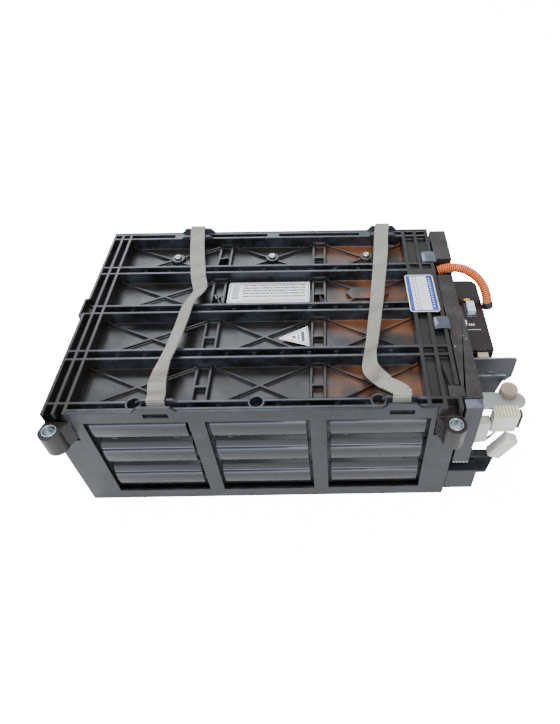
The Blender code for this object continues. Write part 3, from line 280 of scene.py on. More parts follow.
def piece(name, made, paint, body="pack", stands_for=(), smooth=38.0):
    """Puts a shell into Blender: faces outwards, smooth but for edges sharper than an angle."""
    points, quads, caps = made
    mesh = bpy.data.meshes.new(name)
    mesh.from_pydata(points.tolist(), [], quads.tolist() + caps)
    work = bmesh.new()
    work.from_mesh(mesh)
    bmesh.ops.recalc_face_normals(work, faces=work.faces)
    work.to_mesh(mesh)
    work.free()
    mesh.polygons.foreach_set("use_smooth", [True] * len(mesh.polygons))
    mesh.set_sharp_from_angle(angle=math.radians(smooth))
    mesh.materials.append(paint)
    thing = placed(name, mesh)
    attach(thing, body)
    if stands_for:
        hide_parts(*stands_for)
    print(name, len(mesh.polygons), "faces")
    return thing


def mark(thing, name, values):
    """Stores one number per point on the mesh, for its material to read."""
    layer = thing.data.attributes.new(name, "FLOAT", "POINT")
    layer.data.foreach_set("value", np.asarray(values, np.float32).ravel())


# %% [markdown]
# ## Finishes
# Nearly everything here is moulded plastic that has been handled. Four effects are shared, so
# each is a node group: the fine grain of a moulding, a mask of faces that look one way (for dust
# that settles, and for a painted sheen), a painted highlight along the top edges in rubbed
# patches, and scuffs. A group only gives masks and heights.
# Each material then has its own shader and its own values.

# %% Node helpers
def node(tree, kind, inputs=None, **settings):
    made = tree.nodes.new(kind)
    for key, value in settings.items():
        setattr(made, key, value)
    for key, value in (inputs or {}).items():
        if isinstance(value, bpy.types.NodeSocket):
            tree.links.new(value, made.inputs[key])
        else:
            made.inputs[key].default_value = value
    return made


def maths(tree, operation, a, b=0.0, clamp=False):
    return node(tree, "ShaderNodeMath", {0: a, 1: b}, operation=operation, use_clamp=clamp).outputs[0]


def noise(tree, vector, scale, detail=2.0, roughness=0.5, distortion=0.0):
    values = {"Vector": vector, "Scale": scale, "Detail": detail, "Roughness": roughness,
              "Distortion": distortion}
    return node(tree, "ShaderNodeTexNoise", values).outputs[0]


def ramp(tree, value, low, high, out_low=0.0, out_high=1.0):
    """Maps low..high to out_low..out_high with soft ends."""
    made = node(tree, "ShaderNodeMapRange", {0: value, 1: low, 2: high, 3: out_low, 4: out_high},
                interpolation_type="SMOOTHSTEP")
    return made.outputs[0]


def mixed(tree, factor, a, b):
    made = node(tree, "ShaderNodeMix", {0: factor}, data_type="RGBA")
    for index, value in ((6, a), (7, b)):
        if isinstance(value, bpy.types.NodeSocket):
            tree.links.new(value, made.inputs[index])
        else:
            made.inputs[index].default_value = (*value, 1.0)
    return made.outputs[2]


def group(name, inputs, outputs):
    """An empty node group; an input is a number if its default is one, and else a vector."""
    tree = bpy.data.node_groups.new(name, "ShaderNodeTree")
    for socket, value in inputs.items():
        kind = "NodeSocketFloat" if isinstance(value, float) else "NodeSocketVector"
        made = tree.interface.new_socket(socket, in_out="INPUT", socket_type=kind)
        if value is not None:
            made.default_value = value
    for socket in outputs:
        tree.interface.new_socket(socket, in_out="OUTPUT", socket_type="NodeSocketFloat")
    return tree, tree.nodes.new("NodeGroupInput").outputs, tree.nodes.new("NodeGroupOutput").inputs


def use(tree, made_group, inputs):
    made = tree.nodes.new("ShaderNodeGroup")
    made.node_tree = made_group
    for key, value in inputs.items():
        if isinstance(value, bpy.types.NodeSocket):
            tree.links.new(value, made.inputs[key])
        else:
            made.inputs[key].default_value = value
    return made.outputs


# %% Shared effect: the grain of a moulding
grain, given, result = group("moulded_grain", {"Vector": None, "Scale": 900.0}, ["Height", "Cloud"])
grain.links.new(noise(grain, given["Vector"], given["Scale"], 3.0), result["Height"])
grain.links.new(noise(grain, given["Vector"], 26.0, 5.0, 0.62), result["Cloud"])

# %% Shared effect: dust, and a painted sheen, on faces that look one way
dust_and_sheen, given, result = group("facing_dust_and_sheen", {"Vector": None, "Direction": (0.0, 0.0, 1.0), "Scale": 30.0,
                                             "Amount": 1.0}, ["Mask"])
facing = node(dust_and_sheen, "ShaderNodeVectorMath", {0: node(dust_and_sheen, "ShaderNodeNewGeometry").outputs["Normal"],
                                             1: given["Direction"]}, operation="DOT_PRODUCT")
drift = noise(dust_and_sheen, given["Vector"], given["Scale"], 6.0, 0.7)
laid = maths(dust_and_sheen, "MULTIPLY", ramp(dust_and_sheen, facing.outputs["Value"], 0.25, 0.9), ramp(dust_and_sheen, drift, 0.36, 0.68))
dust_and_sheen.links.new(maths(dust_and_sheen, "MULTIPLY", laid, given["Amount"], clamp=True), result["Mask"])

# %% Shared effect: a painted highlight along the tops of walls, in rubbed patches
lit_rub, given, result = group("rubbed_and_lit_tops", {"Vector": None, "Level": TOP, "Amount": 1.0}, ["Mask"])
height = node(lit_rub, "ShaderNodeSeparateXYZ", {0: given["Vector"]}).outputs["Z"]
near_top = ramp(lit_rub, maths(lit_rub, "SUBTRACT", height, given["Level"]), -0.0012, -0.0002)
worn = noise(lit_rub, given["Vector"], 70.0, 4.0)
lit_worn_mask = maths(lit_rub, "MULTIPLY", near_top, ramp(lit_rub, worn, 0.3, 0.7, 0.45, 1.0))
lit_rub.links.new(maths(lit_rub, "MULTIPLY", lit_worn_mask, given["Amount"], clamp=True), result["Mask"])

# %% Shared effect: scuffs and small chips
scuff, given, result = group("scuffs", {"Vector": None, "Scale": 1.0, "Amount": 1.0}, ["Mask"])
stretched = node(scuff, "ShaderNodeVectorMath", {0: given["Vector"], 1: (18.0, 160.0, 90.0)},
                 operation="MULTIPLY").outputs[0]
lines = noise(scuff, stretched, given["Scale"], 2.0, 0.5, 0.6)
chips = noise(scuff, given["Vector"], 420.0, 1.0)
patches = noise(scuff, given["Vector"], 22.0)
marks = maths(scuff, "ADD", ramp(scuff, lines, 0.68, 0.74, 0.0, 0.5), ramp(scuff, chips, 0.74, 0.78))
marks = maths(scuff, "MULTIPLY", marks, ramp(scuff, patches, 0.5, 0.62))
scuff.links.new(maths(scuff, "MULTIPLY", marks, given["Amount"], clamp=True), result["Mask"])
print("shared effects:", [g.name for g in bpy.data.node_groups])

# %% [markdown]
# The moulded plastics share one recipe with different values: a dark base, a brown dust on what
# looks up, a painted blue-grey sheen on what looks to the front, worn tops with a painted
# highlight, scuffs, and a fine grain.

# %% Moulded plastic
def plain_shader(name, colour, roughness, metallic=0.0, coat=0.0, specular=0.5):
    """A material whose uniform values sit straight on the shader's own sockets."""
    made = bpy.data.materials.new(name)
    made.use_nodes = True
    shader = made.node_tree.nodes["Principled BSDF"]
    shader.inputs["Base Color"].default_value = (*colour, 1.0)
    shader.inputs["Roughness"].default_value = roughness
    shader.inputs["Metallic"].default_value = metallic
    shader.inputs["Coat Weight"].default_value = coat
    shader.inputs["Specular IOR Level"].default_value = specular
    coords = node(made.node_tree, "ShaderNodeTexCoord").outputs["Object"]
    return made, made.node_tree, shader, coords


def bump(tree, shader, height, distance, strength=0.5):
    made = node(tree, "ShaderNodeBump", {"Height": height, "Distance": distance, "Strength": strength})
    tree.links.new(made.outputs["Normal"], shader.inputs["Normal"])


def moulded(name, base, roughness, floor=None, front_sheen=None, front_sheen_amount=0.5, lit_tops=None, top_level=TOP,
            top_amount=0.8, chip=(0.30, 0.30, 0.31), chip_amount=0.5, grain_scale=900.0, grain_depth=0.00006,
            coat=0.0, floor_amount=0.9):
    made, tree, shader, coords = plain_shader(name, base, roughness, coat=coat)
    texture = use(tree, grain, {"Vector": coords, "Scale": grain_scale})
    shade = ramp(tree, texture["Cloud"], 0.3, 0.7)
    darker = tuple(0.72 * value for value in base)
    colour = mixed(tree, shade, darker, base)
    if floor:
        settled = use(tree, dust_and_sheen, {"Vector": coords, "Direction": (0, 0, 1.0), "Scale": 34.0,
                                   "Amount": floor_amount})
        colour = mixed(tree, settled["Mask"], colour, floor)
    # Painted sheen: faces that look to the front take a lighter blue-grey colour.
    if front_sheen:
        film = use(tree, dust_and_sheen, {"Vector": coords, "Direction": (0, -1.0, 0.15), "Scale": 24.0,
                                "Amount": front_sheen_amount})
        colour = mixed(tree, film["Mask"], colour, front_sheen)
    # Painted highlight: the tops of the walls take a lighter colour, in rubbed patches.
    if lit_tops:
        lit_worn_top = use(tree, lit_rub, {"Vector": coords, "Level": top_level, "Amount": top_amount})
        colour = mixed(tree, lit_worn_top["Mask"], colour, lit_tops)
    marks = use(tree, scuff, {"Vector": coords, "Scale": 1.0, "Amount": chip_amount})
    colour = mixed(tree, marks["Mask"], colour, chip)
    tree.links.new(colour, shader.inputs["Base Color"])
    rough = maths(tree, "ADD", ramp(tree, texture["Cloud"], 0.25, 0.75, roughness - 0.08, roughness + 0.1),
                  maths(tree, "MULTIPLY", marks["Mask"], 0.3))
    tree.links.new(rough, shader.inputs["Roughness"])
    bump(tree, shader, texture["Height"], grain_depth)
    return made


def over(made, mask, colour):
    """Lays one more colour over a finished material, where the mask is 1."""
    tree = made.node_tree
    shader = tree.nodes["Principled BSDF"]
    below = shader.inputs["Base Color"].links[0].from_socket
    tree.links.new(mixed(tree, mask, below, colour), shader.inputs["Base Color"])


case_plastic = moulded("case_plastic", (0.0055, 0.0055, 0.006), 0.33, floor=(0.017, 0.012, 0.0085),
                       front_sheen=(0.040, 0.047, 0.066), front_sheen_amount=0.9, lit_tops=(0.055, 0.064, 0.085),
                       chip_amount=0.35)
tree = case_plastic.node_tree
coords = tree.nodes["Texture Coordinate"].outputs["Object"]
spot = node(tree, "ShaderNodeSeparateXYZ", {0: coords}).outputs
normal = node(tree, "ShaderNodeNewGeometry").outputs["Normal"]
facing = node(tree, "ShaderNodeSeparateXYZ", {0: normal}).outputs
# Painted highlight: faces that look along X, the cross walls, turn a pale blue-grey in patches.
highlight_breakup = noise(tree, coords, 38.0, 6.0, 0.65)
cross_wall_highlight = maths(tree, "MULTIPLY", ramp(tree, maths(tree, "ABSOLUTE", facing["X"]), 0.6, 0.95),
                   ramp(tree, highlight_breakup, 0.42, 0.60, 0.1, 0.7))
over(case_plastic, cross_wall_highlight, (0.060, 0.072, 0.100))
end_flange = ramp(tree, maths(tree, "ABSOLUTE", spot["X"]), 0.172, 0.176, 0.0, 0.85)
over(case_plastic, end_flange, (0.0125, 0.0095, 0.0080))
low_floor = maths(tree, "MULTIPLY", ramp(tree, spot["Z"], 0.1605, 0.1575), ramp(tree, facing["Z"], 0.2, 0.8))
in_bays = maths(tree, "MULTIPLY", ramp(tree, spot["Z"], 0.1500, 0.1515),
                ramp(tree, spot["Y"], -0.1380, -0.1360))
pool = noise(tree, coords, 17.0, 3.0)
rust = maths(tree, "MULTIPLY", maths(tree, "MULTIPLY", low_floor, in_bays),
             maths(tree, "MULTIPLY", ramp(tree, spot["X"], 0.045, 0.120),
                   ramp(tree, pool, 0.36, 0.62, 0.0, 0.95)))
over(case_plastic, rust, (0.165, 0.062, 0.022))
panel_plastic = moulded("panel_plastic", (0.005, 0.0062, 0.010), 0.32, floor=(0.024, 0.028, 0.040),
                        front_sheen=(0.014, 0.018, 0.030), front_sheen_amount=0.85, chip=(0.15, 0.16, 0.19),
                        chip_amount=0.7)
vane_plastic = moulded("vane_plastic", (0.0045, 0.0055, 0.0085), 0.23, floor=(0.016, 0.019, 0.028),
                       front_sheen=(0.010, 0.0125, 0.020), front_sheen_amount=0.6, chip=(0.14, 0.15, 0.18),
                       chip_amount=0.25,
                       floor_amount=0.4)
# Painted highlight: the lip mark lays a pale blue-grey band along each vane's lip.
lip = node(vane_plastic.node_tree, "ShaderNodeAttribute", attribute_name="lip").outputs["Fac"]
over(vane_plastic, lip, (0.26, 0.29, 0.37))
strip_plastic = moulded("strip_plastic", (0.015, 0.0115, 0.0115), 0.46, floor=(0.042, 0.034, 0.033),
                        front_sheen=(0.03, 0.03, 0.034), chip=(0.55, 0.53, 0.50), chip_amount=0.9)
box_plastic = moulded("box_plastic", (0.009, 0.0045, 0.005), 0.22, floor=(0.017, 0.009, 0.010),
                      chip=(0.4, 0.38, 0.38), chip_amount=0.4, coat=0.25, floor_amount=0.3)
bracket_plastic = moulded("bracket_plastic", (0.022, 0.024, 0.034), 0.38, floor=(0.15, 0.16, 0.21),
                          chip=(0.6, 0.6, 0.64), chip_amount=0.5)
plate_plastic = moulded("plate_plastic", (0.030, 0.032, 0.042), 0.44, floor=(0.33, 0.34, 0.38),
                        front_sheen=(0.055, 0.056, 0.070), chip=(0.5, 0.5, 0.52), chip_amount=0.5, floor_amount=1.0)
ivory_plastic = moulded("ivory_plastic", (0.72, 0.72, 0.66), 0.42, floor=(0.80, 0.79, 0.66),
                        chip=(0.5, 0.47, 0.4), chip_amount=0.3, grain_scale=600.0)
pale_blue_plastic = moulded("pale_blue_plastic", (0.50, 0.66, 0.78), 0.4, floor=(0.70, 0.78, 0.84),
                            chip_amount=0.2)
cap_plastic = moulded("cap_plastic", (0.30, 0.235, 0.175), 0.45, floor=(0.36, 0.30, 0.23), chip_amount=0.2)
rubber_black = moulded("rubber_black", (0.014, 0.014, 0.016), 0.62, floor=(0.03, 0.03, 0.032),
                       chip_amount=0.1)
rib_ivory = moulded("rib_ivory", (0.66, 0.60, 0.40), 0.40, floor=(0.76, 0.70, 0.48), chip_amount=0.3)
tongue_plastic = moulded("tongue_plastic", (0.05, 0.06, 0.085), 0.20, floor=(0.085, 0.10, 0.14),
                         chip_amount=0.3, coat=0.4)
white_mark = moulded("white_mark", (0.74, 0.75, 0.76), 0.45, chip_amount=0.0)
tan_plastic = moulded("tan_plastic", (0.42, 0.33, 0.22), 0.45, floor=(0.50, 0.41, 0.29), chip_amount=0.2)
yellow_paint = moulded("yellow_paint", (0.75, 0.55, 0.08), 0.40, chip_amount=0.1)
module_case = moulded("module_case", (0.09, 0.10, 0.12), 0.45, floor=(0.12, 0.13, 0.15), chip_amount=0.2)


# %% [markdown]
# Bare metals are zinc-plated steel, a light alloy and nickel-plated copper. Their look comes
# from the roughness, which turned parts have in rings and sheet parts in faint clouds.

# %% Metals
def metal(name, colour, roughness, turned=False):
    made, tree, shader, coords = plain_shader(name, colour, roughness, metallic=1.0)
    texture = use(tree, grain, {"Vector": coords, "Scale": 700.0})
    tarnish = mixed(tree, ramp(tree, texture["Cloud"], 0.35, 0.65), tuple(0.8 * v for v in colour), colour)
    tree.links.new(tarnish, shader.inputs["Base Color"])
    spread = ramp(tree, texture["Height"], 0.2, 0.8, roughness - 0.08, roughness + 0.12)
    tree.links.new(spread, shader.inputs["Roughness"])
    if turned:
        rings = node(tree, "ShaderNodeTexWave", {"Vector": coords, "Scale": 900.0, "Distortion": 0.5},
                     bands_direction="Z")
        bump(tree, shader, rings.outputs[1], 0.00002, 0.3)
    else:
        bump(tree, shader, texture["Height"], 0.00003, 0.4)
    return made


zinc_steel = metal("zinc_steel", (0.62, 0.70, 0.74), 0.26, turned=True)
light_alloy = metal("light_alloy", (0.62, 0.66, 0.63), 0.38)
link_metal = metal("link_metal", (0.72, 0.64, 0.52), 0.34)
print(len(bpy.data.materials), "materials so far")

# %% [markdown]
# ## Parts kept from the model
# The cover, panels, housings and plates already have their right shape. A weld and a planar
# dissolve turn their triangles back into whole faces, and a narrow bevel gives every edge the
# small radius of a moulding, which is what catches the light. The mesh itself isn't changed.

# %% Finishing the kept parts
def keep(names, paint, edge=0.0004, segments=2):
    for name in names:
        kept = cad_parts[name]
        kept.material_slots[0].material = paint
        weld = kept.modifiers.new("weld", "WELD")
        weld.merge_threshold = 0.00002
        merge = kept.modifiers.new("whole_faces", "DECIMATE")
        merge.decimate_type = "DISSOLVE"
        merge.angle_limit = math.radians(0.6)
        if edge:
            round_off = kept.modifiers.new("edge", "BEVEL")
            round_off.width = edge
            round_off.segments = segments
            round_off.limit_method = "ANGLE"
            round_off.angle_limit = math.radians(35)
            round_off.use_clamp_overlap = False


keep(["top_cover"], case_plastic, 0.0004, 1)
keep(["base_tray", "left_end_panel", "right_end_panel", "rear_panel"], case_plastic, 0.0005)
keep(["front_panel"], panel_plastic, 0.0005)
keep(["lower_tray", "harness_shelf"], panel_plastic, 0.0010, 3)
keep(["terminal_housing"], strip_plastic, 0.0006)
keep(["end_cover_block", "end_cover_strip"], strip_plastic, 0.0008, 3)
keep(["junction_box", "junction_box_lid"], box_plastic, 0.0009, 3)
keep(["end_bracket", "conduit_clamp"], bracket_plastic, 0.0008, 3)
keep(["wide_bracket_plate", "short_bracket_plate"], plate_plastic, 0.0006, 3)
keep(["terminal_plate"], light_alloy, 0.0006, 3)
keep(["middle_connector"], ivory_plastic, 0.0006, 3)
keep(["signal_plug"], pale_blue_plastic, 0.0008, 3)
keep([f"cell_module_{i:02d}" for i in range(1, 13)], module_case, 0.0)
keep([f"bus_link_{i:02d}" for i in range(1, 12)], link_metal, 0.0004)
print("kept parts finished")

# %% [markdown]
# ## Webbing straps
# Two lifting straps of flat polyester webbing lie over the cover. They could be cloth
# simulations, but webbing this stiff hardly drapes, so a narrow closed profile is carried along
# the strap's route. The selvedge is slightly scalloped where the weft turns, and the strap sags
# a little between the walls that it lies on. Its map holds metres along and across, so the
# weave keeps its pitch on every bend.

# %% Webbing finish
weave, given, result = group("webbing_weave", {"Vector": None, "Rib pitch": WEFT, "Yarn pitch": 0.0013},
                             ["Height", "Shade"])
split = node(weave, "ShaderNodeSeparateXYZ", {0: given["Vector"]}).outputs
rib_turn = maths(weave, "DIVIDE", maths(weave, "MULTIPLY", split["X"], 2 * math.pi), given["Rib pitch"])
yarn_turn = maths(weave, "DIVIDE", maths(weave, "MULTIPLY", split["Y"], 2 * math.pi), given["Yarn pitch"])
rib = maths(weave, "SINE", rib_turn)
yarn = maths(weave, "SINE", maths(weave, "ADD", yarn_turn, maths(weave, "MULTIPLY", rib_turn, 0.5)))
height = maths(weave, "ADD", maths(weave, "MULTIPLY", rib, 0.5), maths(weave, "MULTIPLY", yarn, 0.35))
weave.links.new(height, result["Height"])
weave.links.new(ramp(weave, height, -0.8, 0.4), result["Shade"])

webbing, tree, shader, coords = plain_shader("webbing", (0.50, 0.49, 0.45), 0.85, specular=0.25)
shader.inputs["Sheen Weight"].default_value = 0.25
along_strap = node(tree, "ShaderNodeUVMap", uv_map="strap_metres").outputs[0]
woven = use(tree, weave, {"Vector": along_strap})
blotch = noise(tree, coords, 45.0, 5.0, 0.7)
colour = mixed(tree, woven["Shade"], (0.15, 0.142, 0.13), (0.40, 0.385, 0.35))
colour = mixed(tree, ramp(tree, blotch, 0.42, 0.70, 0.0, 0.55), colour, (0.22, 0.205, 0.18))
soil = node(tree, "ShaderNodeAttribute", attribute_name="soil").outputs["Fac"]
colour = mixed(tree, soil, colour, (0.13, 0.105, 0.08))
tree.links.new(colour, shader.inputs["Base Color"])
bump(tree, shader, woven["Height"], 0.00045, 0.8)
thread_paint = moulded("dark_thread", (0.10, 0.095, 0.09), 0.8, chip_amount=0.0)


# %% The strap's surface
STRAP_W, STRAP_T = 0.018, 0.0016


def strap_profile(half_width, half_thickness):
    """Across the strap: a flat oblong whose sides are half circles, as (across, face) points."""
    flat = np.linspace(-1, 1, 9)
    side = np.linspace(-np.pi / 2, np.pi / 2, 5)[1:-1]
    top = np.stack([flat, np.ones(9)], 1)
    right = np.stack([1 + 0 * side, np.sin(-side)], 1)
    loop = np.vstack([top, right, -top, -right])
    return loop * (half_width, half_thickness)


def strap(name, route, twist_at, creases, stands_for):
    path, at = smooth_path(route, 0.0005)
    twist = np.interp(at / at[-1], [t for t, _ in twist_at], [math.radians(d) for _, d in twist_at])
    path[:, 2] += np.sin(np.abs(twist)) * STRAP_W / 2 * 0.86
    profile = np.repeat(strap_profile(STRAP_W / 2, STRAP_T / 2)[None], len(path), 0)
    scallop = 1 + 0.030 * np.sin(2 * np.pi * at / WEFT)
    profile = profile * np.stack([scallop, np.ones_like(scallop)], 1)[:, None]
    made = piece(name, shell(carried(path, (1, 0, 0), profile, twist)), webbing,
                 stands_for=[stands_for], smooth=60)
    share = at / at[-1]
    soil_mask = sum(depth * np.exp(-((share - t) / 0.018) ** 2) for t, depth in creases)
    mark(made, "soil", np.repeat(np.clip(soil_mask, 0, 1), profile.shape[1]))
    metres = np.stack([np.repeat(at, profile.shape[1]), profile[..., 0].ravel()], 1).astype(np.float32)
    corner = np.empty(len(made.data.loops), np.int32)
    made.data.loops.foreach_get("vertex_index", corner)
    made.data.uv_layers.new(name="strap_metres").data.foreach_set("uv", metres[corner].ravel())
    return made, path, at


REST = TOP + STRAP_T / 2 + 0.0006


def rear_end(x):
    """Out of the rear slot and up over the hump."""
    return [(x, 0.1536, 0.1612), (x, 0.1541, 0.1690), (x, 0.1540, 0.1735), (x, 0.1527, 0.1770),
            (x, 0.1485, 0.1774)]


def front_end(x):
    """Over the front rim's inner wall, then down behind the front panel."""
    return [(x, -0.1326, 0.1740), (x, -0.1400, 0.1742), (x, -0.1425, 0.1700), (x, -0.1431, 0.1660),
            (x, -0.1431, 0.1612)]


left_route = rear_end(-0.097) + [
    (-0.0962, 0.1366, 0.1736), (-0.0925, 0.105, REST - 0.0002), (-0.0880, 0.080, REST),
    (-0.0835, 0.055, REST - 0.0008), (-0.0780, 0.0345, REST), (-0.0778, 0.0245, REST + 0.0004),
    (-0.0838, 0.0100, REST), (-0.0875, -0.004, REST), (-0.0900, -0.030, REST - 0.0010),
    (-0.0940, -0.066, REST), (-0.0990, -0.095, REST), (-0.1005, -0.115, REST + 0.0008)] + front_end(-0.097)
right_route = rear_end(0.149) + [
    (0.1470, 0.1366, 0.1736), (0.1445, 0.105, REST - 0.0002), (0.1415, 0.075, REST),
    (0.1385, 0.050, REST - 0.0008), (0.1360, 0.030, REST), (0.1325, 0.000, REST), (0.1290, -0.0245, REST),
    (0.1255, -0.050, REST - 0.0008), (0.1225, -0.070, REST), (0.1195, -0.088, REST - 0.0004),
    (0.1205, -0.104, REST), (0.1330, -0.120, REST + 0.0026)] + front_end(0.149)
left_twist = [(0, 0), (0.30, 0), (0.40, 14), (0.50, 30), (0.80, 28), (0.88, 0), (1, 0)]
left_creases = [(0.36, 0.35), (0.42, 0.30), (0.85, 0.5), (0.93, 0.6)]
left_strap, left_path, left_at = strap("left_lifting_strap", left_route, left_twist, left_creases,
                                       "left_strap")
right_twist = [(0, 0), (0.14, 0), (0.30, 24), (0.50, 36), (0.64, 42), (0.76, 46), (0.82, 26), (0.88, 0),
               (1, 0)]
right_creases = [(0.30, 0.25), (0.55, 0.2), (0.74, 0.55), (0.84, 0.5)]
right_strap, right_path, right_at = strap("right_lifting_strap", right_route, right_twist, right_creases,
                                          "right_strap")


# %% [markdown]
# The loop at each front end is sewn with two rows of dark thread. Every stitch is a small
# lozenge that stands a little proud of the webbing, and one row is a single array of them.

# %% Stitches
def stitches(name, path, share):
    """Two rows across the strap; a stitch is an oval of the same few points, moved to each place."""
    spots, lean = [], 1
    for row_share in share:
        here = int(row_share * (len(path) - 1))
        along = path[here + 1] - path[here - 1]
        along /= np.linalg.norm(along)
        across = np.array([1.0, 0, 0]) - along * along[0]
        across /= np.linalg.norm(across)
        face = np.cross(along, across)
        for offset in np.linspace(-0.42, 0.42, 8) * STRAP_W:
            centre = path[here] + across * offset + face * (STRAP_T / 2 + 0.0001)
            way = (across + 0.25 * lean * along) * 0.00075
            spots.append(tube([centre - way, centre, centre + way], 0.00028, 0.0004, (0, 0.3, 1), 6))
        lean = -lean
    return piece(name, gather(spots), thread_paint)


left_thread = stitches("left_strap_stitches", left_path, (0.868, 0.876))
right_thread = stitches("right_strap_stitches", right_path, (0.850, 0.858))
print("strap lengths", round(float(left_at[-1]), 4), round(float(right_at[-1]), 4))

# %% [markdown]
# ## Louvre vanes
# Cooling air enters through three windows, each closed by three curved vanes on two posts. One
# vane is a bent section drawn in the (y, z) plane and stacked along X. A bevelled box would do
# from afar, but the light runs along the groove, the lip and the rolled lower edge.

# %% Vanes
FACE_Y = -0.152 + 0.0006
VANE_BODY, VANE_T, VANE_PITCH = 0.0285, 0.0022, 0.047


def vane_section(groove, lip):
    """Down the bulged front face, round the rolled lower edge, back up inside, then over the lip."""
    low = -VANE_BODY
    body = [(0.0030, 0.0), (0.0006, -0.0014), (0.0, -0.0090), (0.0003, low * 0.55), (0.0012, low * 0.78),
            (0.0034, low * 0.94), (0.0072, low)]
    inside = [(0.0074, low + VANE_T), (0.0050, low * 0.90 + VANE_T), (0.0020 + VANE_T, low * 0.72),
              (VANE_T, low * 0.45), (VANE_T + 0.0006, -0.0020)]
    above = [(VANE_T + 0.0030, -0.0002), (VANE_T + 0.0030, 0.0014), (0.0014, 0.0014)]
    if lip:
        above = [(VANE_T + 0.0030, -0.0002), (VANE_T + 0.0032, 0.0068), (0.0105, 0.0150), (0.0086, 0.0160),
                 (0.0044, 0.0112), (0.0012, 0.0030)]
    return rounded([(FACE_Y + y, groove + z) for y, z in body + inside + above], 0.0011)


for number in (1, 2, 3):
    low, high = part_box(f"vent_louvre_{number}")
    top_groove = high[2] - 0.0014
    grooves = [top_groove - step * VANE_PITCH for step in range(3)]
    parts = [slab(vane_section(z, z != grooves[0]), low[0], high[0], 0.0007, "X") for z in grooves]
    third = (high[0] - low[0]) / 3
    for x in ((low[0] + high[0]) / 2 - third, (low[0] + high[0]) / 2 + third):
        parts.append(block(x - 0.003, FACE_Y + 0.0066, x + 0.003, FACE_Y + 0.0092, 0.0006,
                           low[2] + 0.001, high[2] - 0.001, 0.0004))
    made = gather(parts)
    vanes = piece(f"vent_vanes_{number}", made, vane_plastic,
                  stands_for=[f"vent_louvre_{number}"])
    # The lip mark is a painted highlight: a band just above each groove, a fainter one below it.
    above_groove = (made[0][:, 2] - top_groove + VANE_PITCH / 2) % VANE_PITCH - VANE_PITCH / 2
    near_face = np.clip((FACE_Y + 0.0060 - made[0][:, 1]) / 0.0030, 0, 1)
    mark(vanes, "lip", near_face * (0.85 * np.exp(-((above_groove - 0.0026) / 0.0009) ** 2)
                                    + 0.5 * np.exp(-((above_groove + 0.0016) / 0.0007) ** 2)))


# %% [markdown]
# ## Turned parts
# The screws, the lug bushes and the terminal cap are turned, so one profile spun about an
# upright axis makes each. A screw's socket is six-lobed: its rings swell with a cosine of six
# waves to the turn.

# %% Screws
def middle(name):
    low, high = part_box(name)
    return (low[0] + high[0]) / 2, (low[1] + high[1]) / 2, low[2], high[2]


for number in (1, 2, 3):
    x, y, bottom, top = middle(f"cover_screw_{number}")
    seat = top - 0.0028
    profile = [(0.0010, top - 0.0016), (0.0019, top - 0.0016), (0.0020, top - 0.0002), (0.0022, top),
               (0.0030, top + 0.0001), (0.0038, top - 0.0004), (0.0043, top - 0.0012),
               (0.0045, seat + 0.0004),
               (0.0045, seat), (0.0022, seat), (0.0021, bottom + 0.0006), (0.0012, bottom)]
    lobes = [0, 0.16, 0.16, 0.10, 0, 0, 0, 0, 0, 0, 0, 0]
    piece(f"star_screw_{number}", spun(profile, (x, y), 48, lobes), zinc_steel,
          stands_for=[f"cover_screw_{number}"])

# %% Bushes in the lugs
BUSH_IN, BUSH_OUT, BUSH_SIDES = 0.0060, 0.0076, 56
for side in ("left", "right"):
    x, y, bottom, top = middle(f"{side}_lug_bush")
    outside = [(BUSH_IN, bottom + 0.0005), (0.0064, bottom), (0.0071, bottom), (BUSH_OUT, bottom + 0.0005),
               (BUSH_OUT, top - 0.0005), (0.0072, top), (0.0065, top), (BUSH_IN, top - 0.0006)]
    count = len(outside) * BUSH_SIDES
    points, quads, _ = spun(outside + [outside[0]], (x, y), BUSH_SIDES)
    piece(f"{side}_steel_bush", (points[:count], quads % count, []), zinc_steel,
          stands_for=[f"{side}_lug_bush"])

# %% Terminal cap
x, y, bottom, top = middle("terminal_cap")
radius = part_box("terminal_cap")[1][0] - x
cap_profile = [(0.0050, top - 0.0021), (0.0050, bottom), (radius, bottom), (radius, top - 0.0018),
               (radius - 0.0005, top - 0.0007), (radius - 0.0016, top), (0.0034, top), (0.0030, top - 0.0006)]
piece("terminal_cap_detail", spun(cap_profile, (x, y), 56), cap_plastic, body="cap",
      stands_for=["terminal_cap"])

# %% [markdown]
# ## Conduit
# The orange sleeve protects the high-voltage cable. It is corrugated: its radius rises and falls
# with a rounded wave every two and a half millimetres, which lets it bend. A ring of points is
# carried along the arch from the end cover to the junction box, and the depth of the groove is
# stored on the mesh, so that the material can paint shade into the valleys.

# %% Corrugated sleeve
conduit_orange, tree, shader, coords = plain_shader("conduit_orange", (0.95, 0.24, 0.07), 0.42)
valley_shade = node(tree, "ShaderNodeAttribute", attribute_name="valley_shade").outputs["Fac"]
haze_noise = noise(tree, coords, 90.0, 4.0)
# Painted shade: the corrugation's valleys turn a dark orange-brown.
colour = mixed(tree, valley_shade, (0.95, 0.24, 0.06), (0.30, 0.035, 0.008))
colour = mixed(tree, ramp(tree, haze_noise, 0.5, 0.75, 0.0, 0.3), colour, (0.95, 0.45, 0.26))
tree.links.new(colour, shader.inputs["Base Color"])
tree.links.new(ramp(tree, haze_noise, 0.3, 0.7, 0.34, 0.52), shader.inputs["Roughness"])
bump(tree, shader, haze_noise, 0.00004)

